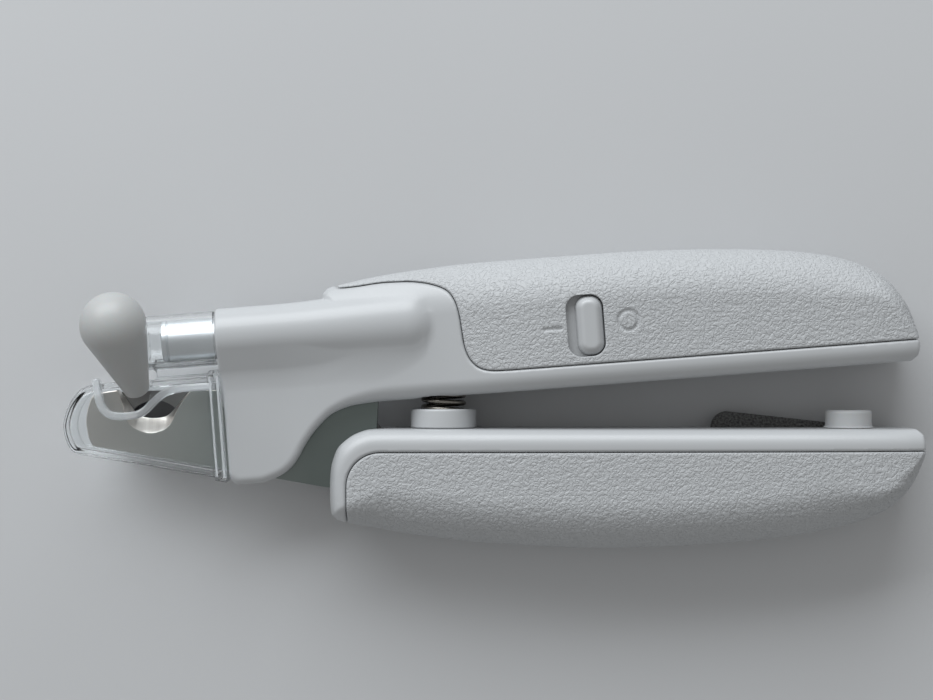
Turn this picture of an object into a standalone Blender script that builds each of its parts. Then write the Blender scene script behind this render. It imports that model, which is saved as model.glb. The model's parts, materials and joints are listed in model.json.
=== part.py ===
"""Plier-type pet nail clipper with an LED light, lying on its back.

Lengths are in millimetres and become metres when a mesh is made. +X runs from
the blades to the ends of the handles, +Y from the lower handle (the lever) to
the upper handle (the body) and +Z from the back of the clipper to its front.
The body's own frame (u along the handle, v across it) is turned by BODY_TILT.
"""
import math

import bmesh
import bpy
import numpy as np
from mathutils import Matrix, Vector

MM = 0.001

# ---- driving dimensions (mm, degrees) --------------------------------------
MID_Z = 10.0                  # parting plane of both handles
BODY_TILT = 4.4               # the body leans this much away from the lever
PIVOT = (-25.0, -12.4)        # axis of the rivet that joins the two blades
GAP = 0.15                    # clearance between parallel flat faces
GROOVE = 0.3                  # groove round every inlay, button and door

FIXED_BLADE_Z = (10.12, 11.9)
MOVING_BLADE_Z = (7.95, 9.95)
BLADE_SLOT_Z = (7.8, 12.05)

GRIP_DEPTH = 1.1              # thickness of the grip skins
SHELL_WALL = 3.1              # from the outer surface to the hollow inside

BODY_INNER_V = 1.15           # inner face of the upper handle
BODY_END_U = 79.6
LIGHT_V, LIGHT_Z = 15.2, 12.0  # axis of the light and of its housing, along u
TUBE_START_U, TUBE_START_R = -50.4, 5.4
TUBE_END_U, TUBE_END_R, TUBE_NOSE = -18.5, 6.4, 7.0
LIGHT_BORE_R, WIRE_BORE_R = 3.95, 4.6
BARREL_R, BARREL_WALL = 3.8, 0.6
BARREL_U = (-60.5, -42.0)
COLLAR_U = -50.0

LEVER_INNER_Y = -5.5
LEVER_END_X, LEVER_END_RUN, LEVER_END_DROP = 76.5, 3.5, 3.6   # round end of the inner face
LEVER_CORNER = (-21.1, -15.6, 10.3)   # centre and radius of the front corner

SPRING_X, SPRING_R, SPRING_WIRE_R = -9.5, 4.3, 0.45
SPRING_Y, SPRING_TURNS, SPRING_ROOM = (-7.9, 6.2), 10, 0.5
SEAT_R, SEAT_TOP_Y, SEAT_BOTTOM_Y = 6.1, -1.85, -9.6
BUMPER_X, BUMPER_R, BUMPER_TOP_Y, BUMPER_BOTTOM_Y = 66.05, 4.65, -2.1, -8.0

SWITCH_U, SWITCH_V = 18.1, 12.3       # centre of the switch window
SWITCH_WINDOW = (7.4, 11.7)
KNOB_SIZE = (5.3, 11.2)
BOARD_U, BOARD_V, BOARD_Z = (-41.0, 23.5), (11.3, 18.5), (10.6, 11.6)

CELL_R, CELL_LENGTH, CELL_COUNT = 5.8, 5.4, 3
CELL_START_U, CELL_V = 28.0, 13.2
DOOR_U, DOOR_V, DOOR_TAB_U, DOOR_TAB_V = (25.5, 46.5), (6.4, 19.4), 51.5, (10.0, 16.0)
DOOR_DEPTH = 2.2

BODY_SCREWS = ((2.5, 7.9), (55.5, 13.0), (70.0, 9.0))      # (u, v)
LEVER_SCREWS = ((12.0, -17.0), (58.0, -15.5))              # (x, y)
SCREW_HEAD_R, SCREW_R = 2.1, 1.1
SCREW_HEAD_Z, SCREW_TIP_Z = 1.8, 14.5

BODY_BLADE_PINS = ((-46.5, -5.5), (-40.5, -9.5))           # (x, y)
LEVER_BLADE_PINS = ((-15.5, -12.5), (-5.0, -14.5))
PIN_R = 1.4
RIVET_R, RIVET_HEAD_R = 2.2, 3.8

# Blade outlines, in (x, y).
NOTCH_EDGE = ((-69.9, 1.7), (-68.3, -0.5), (-67.0, -2.4), (-65.9, -3.2), (-64.0, -3.6),
              (-61.9, -3.45), (-60.7, -2.95), (-59.6, -1.9), (-58.2, -0.1), (-56.6, 1.7))
NOTCH_GROUND = ((-70.2, 1.7), (-69.2, -0.8), (-68.6, -3.1), (-67.3, -5.2), (-64.2, -6.4),
                (-61.5, -5.8), (-60.0, -4.4), (-59.2, -2.6), (-57.9, -0.4), (-56.2, 1.7))
JAW_APEX_Y = -0.3

# Nail file, kept in a slot beside the middle of the lever.
FILE_Z = (3.45, 4.85)
FILE_X = (41.0, 79.2)
FILE_Y = (-13.5, -2.5)

# Clear cover over the blades, and the plug in its nail opening.
COVER_WALL = 1.1
COVER_Z = (2.7, 15.0)
COVER_GAP = 0.3
COVER_RIGHT_X = -48.0
NAIL_MOUTH = ((-73.1, 8.0), (-72.9, 1.0), (-71.6, -1.8), (-70.0, -2.6), (-66.2, -2.4),
              (-64.6, -1.7), (-63.8, -0.6), (-63.6, 0.8), (-63.6, 8.0))
SLEEVE_R, SLEEVE_START_U = 5.0, -63.7
WEB_START_U, WEB_V = -62.5, (7.9, 12.5)   # web between the box's roof and the sleeve
GUARD_Z = (6.35, 7.25)
GUARD_DROP_Z = (4.6, 5.5)
PLUG_BALL = (-68.9, 13.5, 24.0)
PLUG_BALL_R = 6.0
PLUG_TIP = (-65.6, 0.2, 13.4)
PLUG_TAPER, PLUG_TIP_R = (1.4, 5.83), 1.75    # the cone starts at (distance, radius)

# Control points of the outlines. Body: (u, v). Lever: (x, depth below y = 0).
BODY_OUTER = ((-50.0, 14.6), (-32.2, 14.6), (-31.6, 16.5), (-31.0, 20.5), (-29.8, 22.7),
              (-27.4, 23.3), (-15.6, 24.8), (0.0, 25.5), (25.0, 25.4), (36.7, 25.0),
              (47.9, 24.2), (55.4, 23.4), (62.7, 22.1), (68.0, 20.5), (72.1, 18.4),
              (75.1, 16.0), (77.3, 12.9), (78.6, 10.1), (79.4, 6.1), (79.6, 4.4))
BODY_INNER = ((-50.0, -10.8), (-49.6, -11.6), (-48.4, -12.2), (-44.5, -12.2), (-41.9, -11.6),
              (-39.6, -10.6), (-37.4, -8.6), (-35.6, -5.8), (-32.9, -2.6), (-29.8, -0.25),
              (-25.9, 0.85), (-21.0, 1.15), (77.2, 1.15), (78.6, 1.7), (79.3, 2.6), (79.6, 3.6))
BODY_HALF = ((-50.0, 4.4), (-40.0, 4.4), (-33.0, 4.9), (-25.0, 5.6), (-17.0, 6.2), (-9.0, 6.9),
             (0.0, 8.7), (10.0, 9.85), (16.0, 10.0), (56.0, 10.0), (68.0, 9.2), (75.0, 7.9),
             (78.6, 6.2), (79.6, 4.8))
LEVER_OUTER = ((-31.5, 17.6), (-31.3, 20.2), (-30.6, 22.0), (-28.7, 22.8), (-21.3, 24.2),
               (-13.8, 25.5), (1.1, 27.0), (19.8, 27.8), (38.4, 27.2), (53.4, 25.8),
               (60.8, 24.6), (68.3, 22.7), (72.4, 20.9), (75.7, 18.5), (77.8, 15.9),
               (79.3, 12.9), (80.0, 10.4))
LEVER_HALF = ((-31.5, 6.6), (-30.6, 7.4), (-28.0, 8.2), (-22.0, 8.9), (-9.0, 9.5), (8.0, 10.0),
              (56.0, 10.0), (68.0, 9.2), (75.0, 8.0), (79.0, 6.6), (80.0, 5.2))
BODY_STATIONS = (-50.0, -48.6, -44.5, -40.5, -37.4, -35.2, -32.9, -31.6, -31.0, -29.8, -27.4,
                 -23.5, -19.5, -15.0, -9.0, -2.0, 5.0, 12.0, 25.0, 38.0, 48.0, 56.0, 62.7,
                 68.0, 72.1, 75.1, 77.3, 78.6, 79.3, 79.6)
LEVER_STATIONS = (-31.5, -31.3, -30.6, -29.4, -27.6, -25.4, -23.2, -21.1, -15.0, -8.0, 0.0,
                  8.0, 20.0, 32.0, 44.0, 56.0, 62.0, 68.2, 72.4, 75.7, 77.8, 79.3, 80.0)
BODY_CAVITY_U = (-6.0, 76.5)
LEVER_CAVITY_X = (4.0, 75.5)

# Borders between the textured grips and the smooth frame.
BODY_GRIP_BORDER = ((-26.0, 23.2), (-19.0, 23.1), (-13.4, 22.7), (-9.4, 21.5), (-7.0, 19.6),
                    (-5.9, 17.0), (-5.1, 13.0), (-4.7, 9.3), (-3.9, 7.2), (-2.5, 5.8),
                    (-0.4, 5.3))
GRIP_BAND = 4.3               # width of the smooth frame along the inner faces
LEVER_GRIP_LEFT_X = -27.2
LEVER_GRIP_CORNER_R = 6.2

COLOURS = {                   # base colour, roughness, metallic, alpha
    "shell": ((0.80, 0.81, 0.82), 0.38, 0.0, 1.0),
    "grip": ((0.76, 0.77, 0.78), 0.55, 0.0, 1.0),
    "steel": ((0.42, 0.43, 0.43), 0.28, 1.0, 1.0),
    "dark_steel": ((0.10, 0.10, 0.11), 0.35, 1.0, 1.0),
    "abrasive": ((0.10, 0.10, 0.10), 0.85, 0.0, 1.0),
    "clear": ((0.93, 0.95, 0.97), 0.05, 0.0, 0.3),
    "plug": ((0.72, 0.74, 0.75), 0.45, 0.0, 1.0),
    "chrome": ((0.80, 0.82, 0.84), 0.12, 1.0, 1.0),
    "board": ((0.06, 0.25, 0.12), 0.5, 0.0, 1.0),
    "black": ((0.03, 0.03, 0.03), 0.5, 0.0, 1.0),
}


# ---- outlines ----------------------------------------------------------------
def curve_through(points):
    """A smooth curve y(x) through control points that never overshoots them."""
    xs = np.array([p[0] for p in points])
    ys = np.array([p[1] for p in points])
    step = np.diff(xs)
    slope = np.diff(ys) / step
    tangent = np.zeros(len(xs))
    tangent[0], tangent[-1] = slope[0], slope[-1]
    for i in range(1, len(xs) - 1):
        if slope[i - 1] * slope[i] > 0.0:
            w1, w2 = 2 * step[i] + step[i - 1], step[i] + 2 * step[i - 1]
            tangent[i] = (w1 + w2) / (w1 / slope[i - 1] + w2 / slope[i])

    def value(x):
        i = int(np.clip(np.searchsorted(xs, x) - 1, 0, len(step) - 1))
        t = min(max((x - xs[i]) / step[i], 0.0), 1.0)
        low = (1 + 2 * t) * (1 - t) ** 2 * ys[i] + t * (1 - t) ** 2 * step[i] * tangent[i]
        high = t * t * (3 - 2 * t) * ys[i + 1] + t * t * (t - 1) * step[i] * tangent[i + 1]
        return float(low + high)

    return value


body_outer = curve_through(BODY_OUTER)
body_inner = curve_through(BODY_INNER)
body_half = curve_through(BODY_HALF)
lever_outer = curve_through(LEVER_OUTER)
lever_half = curve_through(LEVER_HALF)


def lever_inner(x):
    """Depth of the lever's inner face, with its round corners at both ends."""
    cx, cy, radius = LEVER_CORNER
    if x < cx:
        return -cy - math.sqrt(max(radius ** 2 - (x - cx) ** 2, 0.0))
    end = max(x - LEVER_END_X, 0.0) / LEVER_END_RUN
    return -LEVER_INNER_Y + LEVER_END_DROP * (1 - math.sqrt(max(1 - end * end, 0.0)))


def arc(centre, radius, start, end, count):
    """Points along an arc, angles in degrees."""
    angles = [math.radians(start + (end - start) * i / count) for i in range(count + 1)]
    return [(centre[0] + radius * math.cos(a), centre[1] + radius * math.sin(a)) for a in angles]


def rounded_rectangle(x_range, y_range, radius, count=3):
    x0, x1 = x_range
    y0, y1 = y_range
    return (arc((x1 - radius, y0 + radius), radius, -90, 0, count)
            + arc((x1 - radius, y1 - radius), radius, 0, 90, count)
            + arc((x0 + radius, y1 - radius), radius, 90, 180, count)
            + arc((x0 + radius, y0 + radius), radius, 180, 270, count))


def grown(outline, distance):
    """A counter-clockwise outline moved outwards by distance."""
    moved = []
    for i, point in enumerate(outline):
        before = Vector(point) - Vector(outline[i - 1])
        after = Vector(outline[(i + 1) % len(outline)]) - Vector(point)
        n1 = Vector((before.y, -before.x)).normalized()
        n2 = Vector((after.y, -after.x)).normalized()
        mitre = (n1 + n2) / max(1.0 + n1.dot(n2), 0.4)
        moved.append((point[0] + mitre.x * distance, point[1] + mitre.y * distance))
    return moved


def turned_about(point, outline, degrees):
    """An outline turned about a point."""
    c, s = math.cos(math.radians(degrees)), math.sin(math.radians(degrees))
    return [(point[0] + c * (x - point[0]) - s * (y - point[1]),
             point[1] + s * (x - point[0]) + c * (y - point[1])) for x, y in outline]


def body_to_world(outline):
    return turned_about((0.0, 0.0), outline, BODY_TILT)


# ---- solids --------------------------------------------------------------------
def make_solid(name, points, faces):
    """A mesh object from points in millimetres, with its faces turned outwards."""
    mesh = bpy.data.meshes.new(name)
    mesh.from_pydata([Vector(p) * MM for p in points], [], faces)
    bm = bmesh.new()
    bm.from_mesh(mesh)
    bmesh.ops.recalc_face_normals(bm, faces=bm.faces)
    if bm.calc_volume(signed=True) < 0.0:
        bmesh.ops.reverse_faces(bm, faces=bm.faces)
    bmesh.ops.connect_verts_nonplanar(bm, angle_limit=0.0005, faces=bm.faces)
    bm.to_mesh(mesh)
    bm.free()
    solid = bpy.data.objects.new(name, mesh)
    bpy.context.scene.collection.objects.link(solid)
    return solid


def stack(name, rings):
    """A solid through rings of points, closed at both ends by flat caps."""
    count = len(rings[0])
    points = [p for ring in rings for p in ring]
    faces = [list(range(count)), list(range(len(points) - count, len(points)))]
    for r in range(len(rings) - 1):
        for i in range(count):
            a, b = r * count + i, r * count + (i + 1) % count
            faces.append((a, b, b + count, a + count))
    return make_solid(name, points, faces)


def prism(name, outline, z_range):
    return stack(name, [[(x, y, z) for x, y in outline] for z in z_range])


def turned(name, profile, base, direction, segments=24):
    """A turned solid: profile is (radius, distance along the axis) on the outside."""
    axis = Vector(direction).normalized()
    side = axis.orthogonal().normalized()
    other = axis.cross(side)
    rings = []
    for radius, distance in profile:
        centre = Vector(base) + axis * distance
        rings.append([centre + (side * math.cos(a) + other * math.sin(a)) * radius
                      for a in (2 * math.pi * i / segments for i in range(segments))])
    return stack(name, rings)


def ring_solid(name, outer, inner, base, direction, span, segments=24):
    """A turned tube of the given outer and inner radius."""
    tube = turned(name, ((outer, span[0]), (outer, span[1])), base, direction, segments)
    hole = turned("hole", ((inner, span[0] - 1), (inner, span[1] + 1)), base, direction, segments)
    return subtract(tube, hole)


def combine(target, tool, operation):
    """Apply a Boolean to target and remove the tool."""
    modifier = target.modifiers.new("combine", "BOOLEAN")
    modifier.operation = operation
    modifier.solver = "EXACT"
    modifier.object = tool
    bpy.context.view_layer.update()
    graph = bpy.context.evaluated_depsgraph_get()
    mesh = bpy.data.meshes.new_from_object(target.evaluated_get(graph))
    target.modifiers.clear()
    target.data = mesh
    mesh.name = target.name
    bpy.data.objects.remove(tool)
    return target


def subtract(target, *tools):
    for tool in tools:
        combine(target, tool, "DIFFERENCE")
    return target


def add(target, *tools):
    for tool in tools:
        combine(target, tool, "UNION")
    return target


def keep(target, tool):
    return combine(target, tool, "INTERSECT")


def tilt(solid):
    """Turn a solid made in the body's frame into the world frame."""
    solid.data.transform(Matrix.Rotation(math.radians(BODY_TILT), 4, "Z"))
    return solid


def slab(z_range):
    """A block wider than the clipper, to keep what lies between two heights."""
    return prism("slab", ((-120, -80), (120, -80), (120, 80), (-120, 80)), z_range)


# ---- handle forms ----------------------------------------------------------------
def handle_ring(station, inner, outer, half, inset, direction):
    """One cross-section: small corners at the inner face, a broad curve outside."""
    middle = (inner + outer) / 2
    low, high = min(inner + inset, middle - 0.3), max(outer - inset, middle + 0.3)
    tall = half - inset
    width = high - low
    near = max(min(3.0 - inset, 0.3 * width, 0.8 * tall), 0.12 * width)
    far = max(min(9.0 - 0.6 * inset, 0.55 * width), 0.2 * width)
    corners = (((low + near, tall - near), near, near, 180, 90, 0, 4),
               ((high - far, 0.0), far, tall, 90, 0, 0, 5),
               ((high - far, 0.0), far, tall, 0, -90, 1, 5),
               ((low + near, near - tall), near, near, 270, 180, 0, 4))
    ring = []
    for (cv, cz), a, b, start, end, first, steps in corners:
        for i in range(first, steps + 1):
            angle = math.radians(start + (end - start) * i / steps)
            across = cv + a * math.cos(angle)
            ring.append((station, direction * across, MID_Z + cz + b * math.sin(angle)))
    return ring


def body_form(inset=0.0, u_range=(-60.0, 90.0)):
    """The body's outer form, shrunk by inset, over part of its length (body frame)."""
    last = BODY_END_U - inset
    stations = [u for u in BODY_STATIONS if u_range[0] < u < min(u_range[1], last)]
    stations = [max(u_range[0], COLLAR_U)] + stations + [min(u_range[1], last)]
    stations = sorted(set(stations))
    rings = []
    for u in stations:
        source = min(u + inset * (u > 60), BODY_END_U)
        rings.append(handle_ring(u, body_inner(source), body_outer(source), body_half(source),
                                 inset, 1.0))
    return stack("body_form", rings)


def lever_form(inset=0.0, x_range=(-60.0, 90.0)):
    """The lever's outer form, shrunk by inset, over part of its length."""
    first, last = LEVER_STATIONS[0] + inset, LEVER_STATIONS[-1] - inset
    stations = [x for x in LEVER_STATIONS
                if max(x_range[0], first) < x < min(x_range[1], last)]
    stations = sorted(set([max(x_range[0], first)] + stations + [min(x_range[1], last)]))
    rings = []
    for x in stations:
        source = min(x + inset, LEVER_STATIONS[-1]) if x > 60 else x
        source = max(x - inset, LEVER_STATIONS[0]) if x < -20 else source
        rings.append(handle_ring(x, lever_inner(source), lever_outer(source),
                                 lever_half(source), inset, -1.0))
    return stack("lever_form", rings)


def tube_form():
    """The bulge that houses the light, from the collar to its round nose."""
    length = TUBE_END_U - TUBE_START_U
    profile = [(TUBE_START_R - 0.5, 0.0), (TUBE_START_R, 0.5), (TUBE_END_R, length)]
    for i in range(1, 5):
        angle = math.radians(90 * i / 5)
        profile.append((TUBE_END_R * math.cos(angle), length + TUBE_NOSE * math.sin(angle)))
    return turned("tube_form", profile, (TUBE_START_U, LIGHT_V, LIGHT_Z), (1, 0, 0), 28)


def body_grip_region(margin=0.0):
    """The area under the body's grip, in the body frame."""
    right, top = 95.0, 45.0
    outline = ([(BODY_GRIP_BORDER[0][0], top)] + list(BODY_GRIP_BORDER)
               + [(1.5, BODY_INNER_V + GRIP_BAND - 0.2), (right, BODY_INNER_V + GRIP_BAND - 0.3)]
               + [(right, top)])
    return grown(outline, margin)


def lever_grip_region(margin=0.0):
    """The area under the lever's grip."""
    radius = LEVER_GRIP_CORNER_R
    top = LEVER_INNER_Y - GRIP_BAND
    corner = arc((LEVER_GRIP_LEFT_X + radius, top - radius), radius, 90, 180, 5)
    outline = [(95.0, -50.0), (95.0, top + 0.3)] + corner + [(LEVER_GRIP_LEFT_X, -50.0)]
    return grown(outline, margin)


def window(u_range, v_range, radius, z_range):
    return prism("window", rounded_rectangle(u_range, v_range, radius), z_range)


def centred(centre, size, grow=0.0):
    return (centre - size / 2 - grow, centre + size / 2 + grow)


def switch_window():
    size_u, size_v = SWITCH_WINDOW
    return window(centred(SWITCH_U, size_u), centred(SWITCH_V, size_v), 2.6, (15.0, 24.0))


def door_cutter(grow, z_range, with_tab):
    grown_u = (DOOR_U[0] - grow, DOOR_U[1] + grow)
    cutter = window(grown_u, (DOOR_V[0] - grow, DOOR_V[1] + grow), 2.0, z_range)
    if with_tab:
        tab = window((DOOR_U[1] - 4, DOOR_TAB_U + grow),
                     (DOOR_TAB_V[0] - grow, DOOR_TAB_V[1] + grow), 2.0, z_range)
        add(cutter, tab)
    return cutter


def screw_post(x, y, side, form):
    """Round post from the wall under the grip to just past the parting plane."""
    span = (MID_Z - 1.0, MID_Z + 9.0) if side > 0 else (MID_Z - 9.0, MID_Z + 1.0)
    post = turned("post", ((2.9, span[0]), (2.9, span[1])), (x, y, 0), (0, 0, 1), 16)
    return keep(post, form(GRIP_DEPTH + GROOVE))


def screw_cutter(x, y):
    """Room for one screw, open at the back of the handle."""
    shaft = turned("screw_room", ((SCREW_R + GAP, -3.0), (SCREW_R + GAP, SCREW_TIP_Z + 0.3)),
                   (x, y, 0), (0, 0, 1), 12)
    head = turned("head_room", ((SCREW_HEAD_R + GROOVE, -3.0),
                                (SCREW_HEAD_R + GROOVE, SCREW_HEAD_Z + 1.5 + GAP)),
                  (x, y, 0), (0, 0, 1), 16)
    return add(shaft, head)


def screw(name, x, y):
    """A pan-head screw with a cross slot, driven in from the back."""
    solid = turned(name, ((SCREW_HEAD_R - 0.4, 0.0), (SCREW_HEAD_R, 0.4), (SCREW_HEAD_R, 1.5),
                          (SCREW_R, 1.51), (SCREW_R, SCREW_TIP_Z - SCREW_HEAD_Z - 1.0),
                          (0.3, SCREW_TIP_Z - SCREW_HEAD_Z)),
                   (x, y, SCREW_HEAD_Z), (0, 0, 1), 12)
    for half_x, half_y in ((1.4, 0.3), (0.3, 1.4)):
        slot = prism("slot", ((x - half_x, y - half_y), (x + half_x, y - half_y),
                              (x + half_x, y + half_y), (x - half_x, y + half_y)),
                     (SCREW_HEAD_Z - 1.0, SCREW_HEAD_Z + 0.7))
        subtract(solid, slot)
    return solid


# ---- blades ------------------------------------------------------------------------
def fixed_blade_outline():
    """The front plate without its notch, counter-clockwise from the lower left."""
    lower = [(-74.6, -8.8), (-51.9, -12.8), (-31.7, -16.4)]
    end = arc(PIVOT, 5.2, 235, 355, 6)
    upper = [(-21.9, -6.0), (-21.5, 0.5), (-24.0, 1.7), (-56.3, 1.3), (-69.4, 1.6)]
    nose = [(-73.6, 1.0), (-74.8, 0.2), (-75.6, -2.2), (-75.8, -4.6), (-75.4, -7.2)]
    return lower + end + upper + nose


def moving_blade_outline():
    """The rear plate, with its concave jaw on the lower side, counter-clockwise."""
    jaw = arc((-63.3, JAW_APEX_Y - 5.6), 5.6, 145, 35, 8)
    lower = [(-73.6, -3.0), (-69.5, -3.2)] + jaw + [(-57.4, -4.6), (-50.0, -9.6),
                                                    (-40.0, -13.4), (-30.5, -16.2)]
    tang = [(-25.0, -17.4), (-12.0, -17.6), (-1.0, -17.4), (0.5, -16.0), (0.5, -11.6),
            (-0.8, -10.4), (-16.0, -10.2), (-18.5, -8.4)]
    upper = [(-22.0, -4.6), (-36.0, -1.0), (-50.0, 1.1), (-63.0, 1.5), (-72.0, 1.1),
             (-74.0, -0.2)]
    return lower + tang + upper


def blade_slot_outline():
    """Room for both blades inside the body, closed round the fixed blade."""
    return ((-90.0, -5.9), (-51.9, -13.05), (-31.7, -16.65), (-10.0, -20.0), (-10.0, -4.0),
            (-21.2, -3.0), (-21.2, 0.6), (-23.8, 1.95), (-56.3, 1.9), (-90.0, 1.9))


def fixed_blade():
    """Front blade: a steel plate with an upward notch, ground to an edge in front."""
    low, high = FIXED_BLADE_Z
    blade = prism("fixed_blade", fixed_blade_outline(), FIXED_BLADE_Z)
    rings = [[(NOTCH_GROUND[0][0] - 0.5, 4.0, z)] + [(x, y, z) for x, y in edge]
             + [(NOTCH_GROUND[-1][0] + 1.5, 4.0, z)]
             for z, edge in ((low - 1.0, NOTCH_EDGE), (low + 0.25, NOTCH_EDGE),
                             (high + 0.05, NOTCH_GROUND), (high + 1.0, NOTCH_GROUND))]
    subtract(blade, stack("notch", rings))
    hole = turned("hole", ((RIVET_R + 0.05, -2.0), (RIVET_R + 0.05, 4.0)), (*PIVOT, low), (0, 0, 1))
    subtract(blade, hole)
    for x, y in BODY_BLADE_PINS:
        subtract(blade, turned("hole", ((PIN_R + 0.05, -2.0), (PIN_R + 0.05, 4.0)),
                               (x, y, low), (0, 0, 1), 16))
    return blade


def moving_blade():
    """Rear blade: fastened in the lever, its jaw shears past the fixed edge."""
    low, high = MOVING_BLADE_Z
    blade = prism("moving_blade", moving_blade_outline(), MOVING_BLADE_Z)
    hole = turned("hole", ((RIVET_R + 0.08, -2.0), (RIVET_R + 0.08, 4.0)), (*PIVOT, low), (0, 0, 1))
    subtract(blade, hole)
    for x, y in LEVER_BLADE_PINS:
        subtract(blade, turned("hole", ((PIN_R + 0.05, -2.0), (PIN_R + 0.05, 4.0)),
                               (x, y, low), (0, 0, 1), 16))
    return blade


def pivot_rivet():
    """Rivet through both blades, with a head on each side inside the lever."""
    front, back = FIXED_BLADE_Z[1], MOVING_BLADE_Z[0]
    return turned("pivot_rivet", ((RIVET_HEAD_R - 0.4, back - 1.6), (RIVET_HEAD_R, back - 1.2),
                                  (RIVET_HEAD_R, back - 0.12), (RIVET_R, back - 0.11),
                                  (RIVET_R, front + 0.05), (RIVET_HEAD_R, front + 0.06),
                                  (RIVET_HEAD_R, front + 1.0), (RIVET_HEAD_R - 0.4, front + 1.4)),
                  (*PIVOT, 0), (0, 0, 1), 20)


def nail_guard():
    """Thin bent plate behind the blades that stops the nail, held in the collar."""
    outline = [(-73.0, -7.0), (-55.5, -9.4), (-55.5, 0.6), (-73.0, 0.6)]
    guard = prism("nail_guard", outline, GUARD_DROP_Z)
    flange = prism("flange", [(-57.0, -8.8), (-45.5, -8.8), (-45.5, 0.0), (-57.0, 0.0)], GUARD_Z)
    joggle = prism("joggle", [(-57.0, -8.8), (-55.8, -8.8), (-55.8, 0.0), (-57.0, 0.0)],
                   (GUARD_DROP_Z[0] + 0.2, GUARD_Z[1] - 0.2))
    return add(guard, joggle, flange)


# ---- body -------------------------------------------------------------------------
def body_shells():
    """The two halves of the upper handle, with the collar and the light's housing."""
    shells = []
    for name, side in (("body_front_shell", 1), ("body_back_shell", -1)):
        shell = add(body_form(), tube_form())
        grip_room = prism("grip_room", body_grip_region(GROOVE),
                          (MID_Z + GAP * side * 0.5, MID_Z + 20 * side))
        subtract(grip_room, body_form(GRIP_DEPTH + GROOVE))
        subtract(shell, grip_room)
        cavity = body_form(SHELL_WALL, BODY_CAVITY_U)
        subtract(shell, cavity)
        bore = turned("bore", ((LIGHT_BORE_R, -3.0), (LIGHT_BORE_R, 9.0),
                               (WIRE_BORE_R, 9.1), (WIRE_BORE_R, 50.0)),
                      (TUBE_START_U, LIGHT_V, LIGHT_Z), (1, 0, 0), 20)
        subtract(shell, bore)
        for u, v in BODY_SCREWS:
            add(shell, screw_post(u, v, side, body_form))
            subtract(shell, screw_cutter(u, v))
        if side > 0:
            subtract(shell, switch_window())
        else:
            subtract(shell, door_cutter(GROOVE, (-3.0, 6.0), False))
            subtract(shell, turned("door_screw_room", ((0.9, -3.0), (0.9, 6.0)),
                                   (DOOR_TAB_U - 2.6, CELL_V, 0), (0, 0, 1), 12))
        shell.name = name
        tilt(shell)
        slot = BLADE_SLOT_Z[1] if side > 0 else BLADE_SLOT_Z[0]
        subtract(shell, prism("blade_slot", blade_slot_outline(), (MID_Z - side, slot)))
        subtract(shell, turned("spring_room", ((SPRING_R + SPRING_ROOM, -3.0), (SPRING_R + SPRING_ROOM, 6.5)),
                               (SPRING_X, 0, MID_Z), (0, 1, 0), 20))
        if side > 0:
            for x, y in BODY_BLADE_PINS:
                subtract(shell, turned("pin_room", ((PIN_R + 0.05, 10.0), (PIN_R + 0.05, 13.4)),
                                       (x, y, 0), (0, 0, 1), 16))
        else:
            guard_room = prism("guard_room", [(-60.0, -9.0), (-45.2, -9.0), (-45.2, 0.2),
                                              (-60.0, 0.2)], (GUARD_Z[0] - 0.1, GUARD_Z[1] + 0.1))
            subtract(shell, guard_room)
        keep(shell, slab((MID_Z + 0.03, 30.0) if side > 0 else (-5.0, MID_Z - 0.03)))
        shells.append(shell)
    return shells


def body_grips():
    """Textured skins let into the front and the back of the upper handle."""
    grips = []
    for name, side in (("body_front_grip", 1), ("body_back_grip", -1)):
        grip = keep(body_form(), prism("region", body_grip_region(),
                                       (MID_Z + GAP * side, MID_Z + 20 * side)))
        subtract(grip, body_form(GRIP_DEPTH))
        if side > 0:
            subtract(grip, switch_window())
        else:
            subtract(grip, door_cutter(GROOVE, (-3.0, 6.0), True))
            for u, v in BODY_SCREWS:
                subtract(grip, turned("screw_hole", ((SCREW_HEAD_R + GROOVE, -3.0),
                                                     (SCREW_HEAD_R + GROOVE, 6.0)),
                                      (u, v, 0), (0, 0, 1), 16))
        grip.name = name
        grips.append(tilt(grip))
    return grips


def battery_door():
    """Door over the cells, flush with the back grip, with a tab for its screw."""
    door = keep(body_form(), door_cutter(0.0, (-3.0, 9.0), False))
    subtract(door, body_form(DOOR_DEPTH))
    tab = keep(body_form(), door_cutter(0.0, (-3.0, 9.0), True))
    subtract(tab, body_form(GRIP_DEPTH))
    add(door, tab)
    centre = (DOOR_TAB_U - 2.6, CELL_V, 0)
    subtract(door, turned("hole", ((0.95, -1.0), (0.95, 6.0)), centre, (0, 0, 1), 12))
    subtract(door, turned("recess", ((1.8, -1.0), (1.8, 0.7)), centre, (0, 0, 1), 16))
    door.name = "battery_door"
    return tilt(door)


def battery_door_screw():
    """Small screw through the door's tab into the back shell."""
    base = (DOOR_TAB_U - 2.6, CELL_V, 0.1)
    solid = turned("battery_door_screw", ((1.5, 0.0), (1.5, 0.5), (0.75, 0.51), (0.75, 3.2)),
                   base, (0, 0, 1), 12)
    u, v = base[:2]
    subtract(solid, prism("slot", ((u - 1.1, v - 0.22), (u + 1.1, v - 0.22),
                                   (u + 1.1, v + 0.22), (u - 1.1, v + 0.22)), (-1.0, 0.35)))
    return tilt(solid)


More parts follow.
